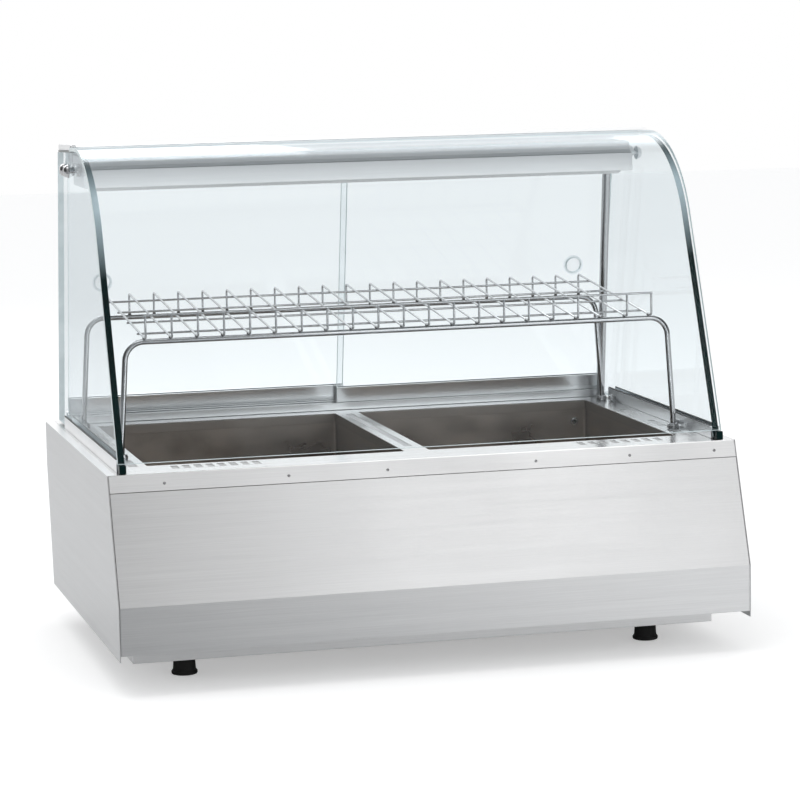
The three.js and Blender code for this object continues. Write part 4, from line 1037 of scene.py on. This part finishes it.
def panel_frame(origin, x, y, z, turn=0.0, tilt=0.0):
    """Where a thing drawn flat in XY goes on the panel: moved, turned about Z and tilted about its X."""
    axes = Matrix((PANEL_RIGHT, PANEL_UP, PANEL_OUT)).transposed().to_4x4()
    local = Matrix.Rotation(turn, 4, "Z") @ Matrix.Rotation(tilt, 4, "X")
    return Matrix.Translation(panel_point(origin, x, y, z)) @ axes @ local


def add_mesh(bm, mesh, where):
    """Adds a mesh to a bmesh, moved, and drops it."""
    mesh.transform(where)
    bm.from_mesh(mesh)
    bpy.data.meshes.remove(mesh)


def add_moved(bm, made, where):
    mesh = bpy.data.meshes.new("moved")
    made.to_mesh(mesh)
    made.free()
    add_mesh(bm, mesh, where)


def plate(bm, low, high, where):
    made = bmesh.new()
    box_mesh(made, low, high)
    add_moved(bm, made, where)


def numeral(bm, text, size, where):
    curve = bpy.data.curves.new("numeral", "FONT")
    curve.body = text
    curve.size = size
    curve.extrude = PRINT / 2
    curve.align_x = "CENTER"
    curve.align_y = "CENTER"
    drawn = bpy.data.objects.new("numeral", curve)
    add_mesh(bm, bpy.data.meshes.new_from_object(drawn), where)
    bpy.data.objects.remove(drawn)


def heat_knob():
    skirt, grip, tall = KNOB_SKIRT, KNOB_GRIP, KNOB_TALL
    collar = 0.0034
    profile = [(0, 0.0003), (skirt - 0.0005, 0.0003), (skirt, 0.0008), (skirt, 0.0024),
               (skirt - 0.0009, 0.0033), (grip + 0.0008, 0.0036), (grip, 0.0044),
               (grip * 0.96, tall - 0.0016), (grip * 0.9, tall - 0.0003), (grip * 0.8, tall),
               (grip * 0.5, tall - 0.0005), (0, tall - 0.0006)]
    bm = bmesh.new()
    lathe(bm, profile, KNOB_AXIS, PANEL_OUT, 64)
    smooth(piece("turned_knob", bm, ("black",), "heat_knob", "black_plastic", "thermostat_knob"))
    line = bmesh.new()
    for start, end, height in ((0.0052, grip * 0.76, tall), (grip + 0.0014, skirt - 0.0012, collar)):
        plate(line, (-POINTER_HALF, start, -PRINT), (POINTER_HALF, end, PRINT),
              panel_frame(KNOB_AXIS, 0, 0, height))
    piece("knob_pointer", line, ("mark",), "heat_knob", "black_plastic")


def dial():
    """Marks and numbers, laid out the way the knob turns."""
    bm = bmesh.new()
    lift = PRINT * 1.5
    steps = (len(DIAL_MARKS) - 1) * DIAL_PARTS
    for i in range(steps + 1):
        long = TICK_LONG if i % DIAL_PARTS == 0 else TICK_SHORT
        plate(bm, (-TICK_HALF, DIAL_RADIUS, -PRINT), (TICK_HALF, DIAL_RADIUS + long, PRINT),
              panel_frame(KNOB_AXIS, 0, 0, lift, DIAL_SWEEP * i / steps))
    for i, text in enumerate(DIAL_MARKS):
        angle = DIAL_SWEEP * i / (len(DIAL_MARKS) - 1)
        numeral(bm, text, NUMERAL_SIZE, panel_frame(KNOB_AXIS, -NUMERAL_REACH * math.sin(angle),
                                                    NUMERAL_REACH * math.cos(angle), lift))
    piece("dial_marks", bm, ("black",), "case", "black_plastic")


def rocker_marks():
    """A bar on the rocker's upper half and a ring on its lower one."""
    half, tall = 0.0005, 0.0019
    bm = bmesh.new()
    plate(bm, (-half, -tall, -PRINT), (half, tall, PRINT),
          panel_frame(ROCKER_AXIS, 0, ROCKER_MARK_UP, ROCKER_MARK_OUT, 0, -ROCKER_SLOPE))
    inner, outer = 0.0012, 0.0018
    ring = bmesh.new()
    lathe(ring, [(inner, -PRINT), (outer, -PRINT), (outer, PRINT), (inner, PRINT)], (0, 0, 0), (0, 0, 1), 24)
    add_moved(bm, ring, panel_frame(ROCKER_AXIS, 0, -ROCKER_MARK_UP, ROCKER_MARK_OUT, 0, ROCKER_SLOPE))
    piece("rocker_marks", bm, ("mark",), "power_rocker", "black_plastic")


def gland():
    """A six-sided nut on the panel and a threaded neck with a rounded mouth."""
    low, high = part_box("cable_gland")
    nut = (high.x - low.x) / 2
    thread, bore, gap, tall, inner = 0.008, 0.0045, 0.0003, 0.006, -0.0092
    bm = bmesh.new()
    lathe(bm, [(thread + 0.0001, gap), (nut, gap), (nut, tall), (thread + 0.0001, tall)], GLAND_AXIS,
          PANEL_OUT, 6)
    lathe(bm, [(bore, inner), (thread, inner), (thread, 0.0085), (thread - 0.0006, 0.0105),
               (thread - 0.0018, 0.0128), (thread - 0.0026, 0.0138), (bore + 0.0003, 0.014), (bore, 0.0137)],
          GLAND_AXIS, PANEL_OUT, 40)
    smooth(piece("turned_gland", bm, ("black",), "case", "black_plastic", "cable_gland"))


def panel_screws():
    """Domed heads with a six-sided socket, (radius, height) out of the panel. Each socket is a dark six-sided
    disc set in the head: painted shade for the recess.
    """
    heads = bmesh.new()
    sockets = bmesh.new()
    head = [(0, 0.0001), (0.0036, 0.0001), (0.0036, 0.0006), (0.003, 0.0015), (0.002, 0.0019), (0, 0.002)]
    socket = [(0, 0.0018), (0.0012, 0.0018), (0.0012, 0.00205), (0, 0.00205)]
    for x in SCREW_ACROSS:
        for height in SCREW_HEIGHTS:
            place = panel_point(Vector((x, KNOB_AXIS.y, KNOB_AXIS.z)), 0, height, 0)
            lathe(heads, head, place, PANEL_OUT, 28)
            lathe(sockets, socket, place, PANEL_OUT, 6)
    smooth(piece("panel_screws", heads, ("rivet",), "case", "stainless"))
    # Painted shade: dark discs stand in for the shaded socket recesses
    piece("screw_socket_shade", sockets, ("dark_metal",), "case", "dark_metal")


heat_knob()
dial()
rocker_marks()
gland()
panel_screws()


# Stage: floor, light and camera

def floor():
    """Pale, lifted a little for the camera, and in front, for what metal mirrors, with painted shade to the
    left and painted light to the right.
    """
    bm = bmesh.new()
    bm.faces.new([bm.verts.new((x * FLOOR_HALF, y * FLOOR_HALF, -FLOOR_DROP))
                  for x, y in ((-1, -1), (1, -1), (1, 1), (-1, 1))])
    mesh = bpy.data.meshes.new("floor")
    bm.to_mesh(mesh)
    bm.free()
    made = bpy.data.objects.new("floor", mesh)
    bpy.context.collection.objects.link(made)
    look = Look("pale_floor")
    seen = look.node("LightPath")
    in_front = look.spread(look.along("Y"), 1, 0, *FLOOR_FRONT)
    mirrored = look.maths("MULTIPLY", in_front, seen.outputs["Is Glossy Ray"])
    # Painted shade and painted light: the floor in front, as metal mirrors it, dark to the left and light to
    # the right
    tone = look.blend(look.spread(look.along("X"), 0, 1, *FLOOR_ACROSS), FLOOR_MIRRORED_SHADE, FLOOR_MIRRORED_LIGHT)
    look.sockets(Base_Color=look.blend(mirrored, FLOOR_TONE, tone), Roughness=0.9, Specular_IOR_Level=0.1)
    glow = look.node("Emission", Strength=look.maths("MULTIPLY", seen.outputs["Is Camera Ray"], FLOOR_GLOW))
    lifted = look.node("AddShader")
    look.feed(lifted.inputs[0], look.shader.outputs["BSDF"])
    look.feed(lifted.inputs[1], glow.outputs["Emission"])
    look.ends_in(lifted.outputs["Shader"])
    mesh.materials.append(look.material)


def studio():
    """White to look at, softer for the light it gives, and darker at the sides and above where metal mirrors
    it."""
    world = bpy.data.worlds.new("studio")
    bpy.context.scene.world = world
    world.use_nodes = True
    sky = Nodes(world.node_tree)
    sky.tree.nodes.clear()
    x, y, z = sky.node("SeparateXYZ", Vector=sky.node("TexCoord").outputs["Generated"]).outputs

    def eased(source, low, high, ends):
        return sky.spread(source, low, high, *ends, "SMOOTHSTEP")

    def surround(colour, strength=1.0):
        return sky.node("Background", Color=colour, Strength=strength).outputs["Background"]

    sides = eased(sky.maths("ABSOLUTE", x), 1, SIDE_LEVEL, SIDE_RANGE)
    overhead = eased(z, 1, TOP_LEVEL, TOP_RANGE)
    above = eased(z, 0, 1, BACK_GLOW_HEIGHT)
    behind = eased(y, 0, BACK_GLOW, BACK_GLOW_DEPTH)
    plain = sky.maths("MULTIPLY", sides, overhead)
    glow = sky.maths("MULTIPLY", plain, sky.maths("MULTIPLY", above, behind))
    mirrored = surround(eased(y, FRONT_TONE, 1, FRONT_RANGE), sky.maths("ADD", plain, glow))
    path = sky.node("LightPath").outputs
    lighting = sky.either(path["Is Glossy Ray"], surround(FILL_COLOUR, FILL), mirrored)
    direct = sky.maths("MAXIMUM", path["Is Camera Ray"], path["Is Transmission Ray"])
    sky.node("OutputWorld", Surface=sky.either(direct, lighting, surround((1, 1, 1))))


def softbox(name, place, target, width, height, power, mirrored):
    data = bpy.data.lights.new(name, "AREA")
    data.shape = "RECTANGLE"
    data.size = width
    data.size_y = height
    data.energy = power
    made = bpy.data.objects.new(name, data)
    made.location = place
    made.rotation_euler = (Vector(target) - Vector(place)).to_track_quat("-Z", "Y").to_euler()
    made.visible_glossy = mirrored
    bpy.context.collection.objects.link(made)


def camera():
    data = bpy.data.cameras.new("camera")
    data.lens = LENS
    data.sensor_width = SENSOR
    data.clip_end = CLIP_END
    ahead = Vector((math.sin(CAMERA_TURN) * math.cos(CAMERA_DIP),
                    math.cos(CAMERA_TURN) * math.cos(CAMERA_DIP), -math.sin(CAMERA_DIP)))
    right = Vector((math.cos(CAMERA_TURN), -math.sin(CAMERA_TURN), 0))
    up = right.cross(ahead)
    rolled_right = right * math.cos(CAMERA_ROLL) + up * math.sin(CAMERA_ROLL)
    rolled_up = up * math.cos(CAMERA_ROLL) - right * math.sin(CAMERA_ROLL)
    made = bpy.data.objects.new("camera", data)
    turn = Matrix((rolled_right, rolled_up, -ahead)).transposed()
    made.matrix_world = Matrix.Translation(CAMERA_PLACE) @ turn.to_4x4()
    bpy.context.collection.objects.link(made)
    bpy.context.scene.camera = made


floor()
studio()
for light in SOFTBOXES:
    softbox(*light)
camera()

view_settings = bpy.context.scene.view_settings
view_settings.view_transform = "Standard"
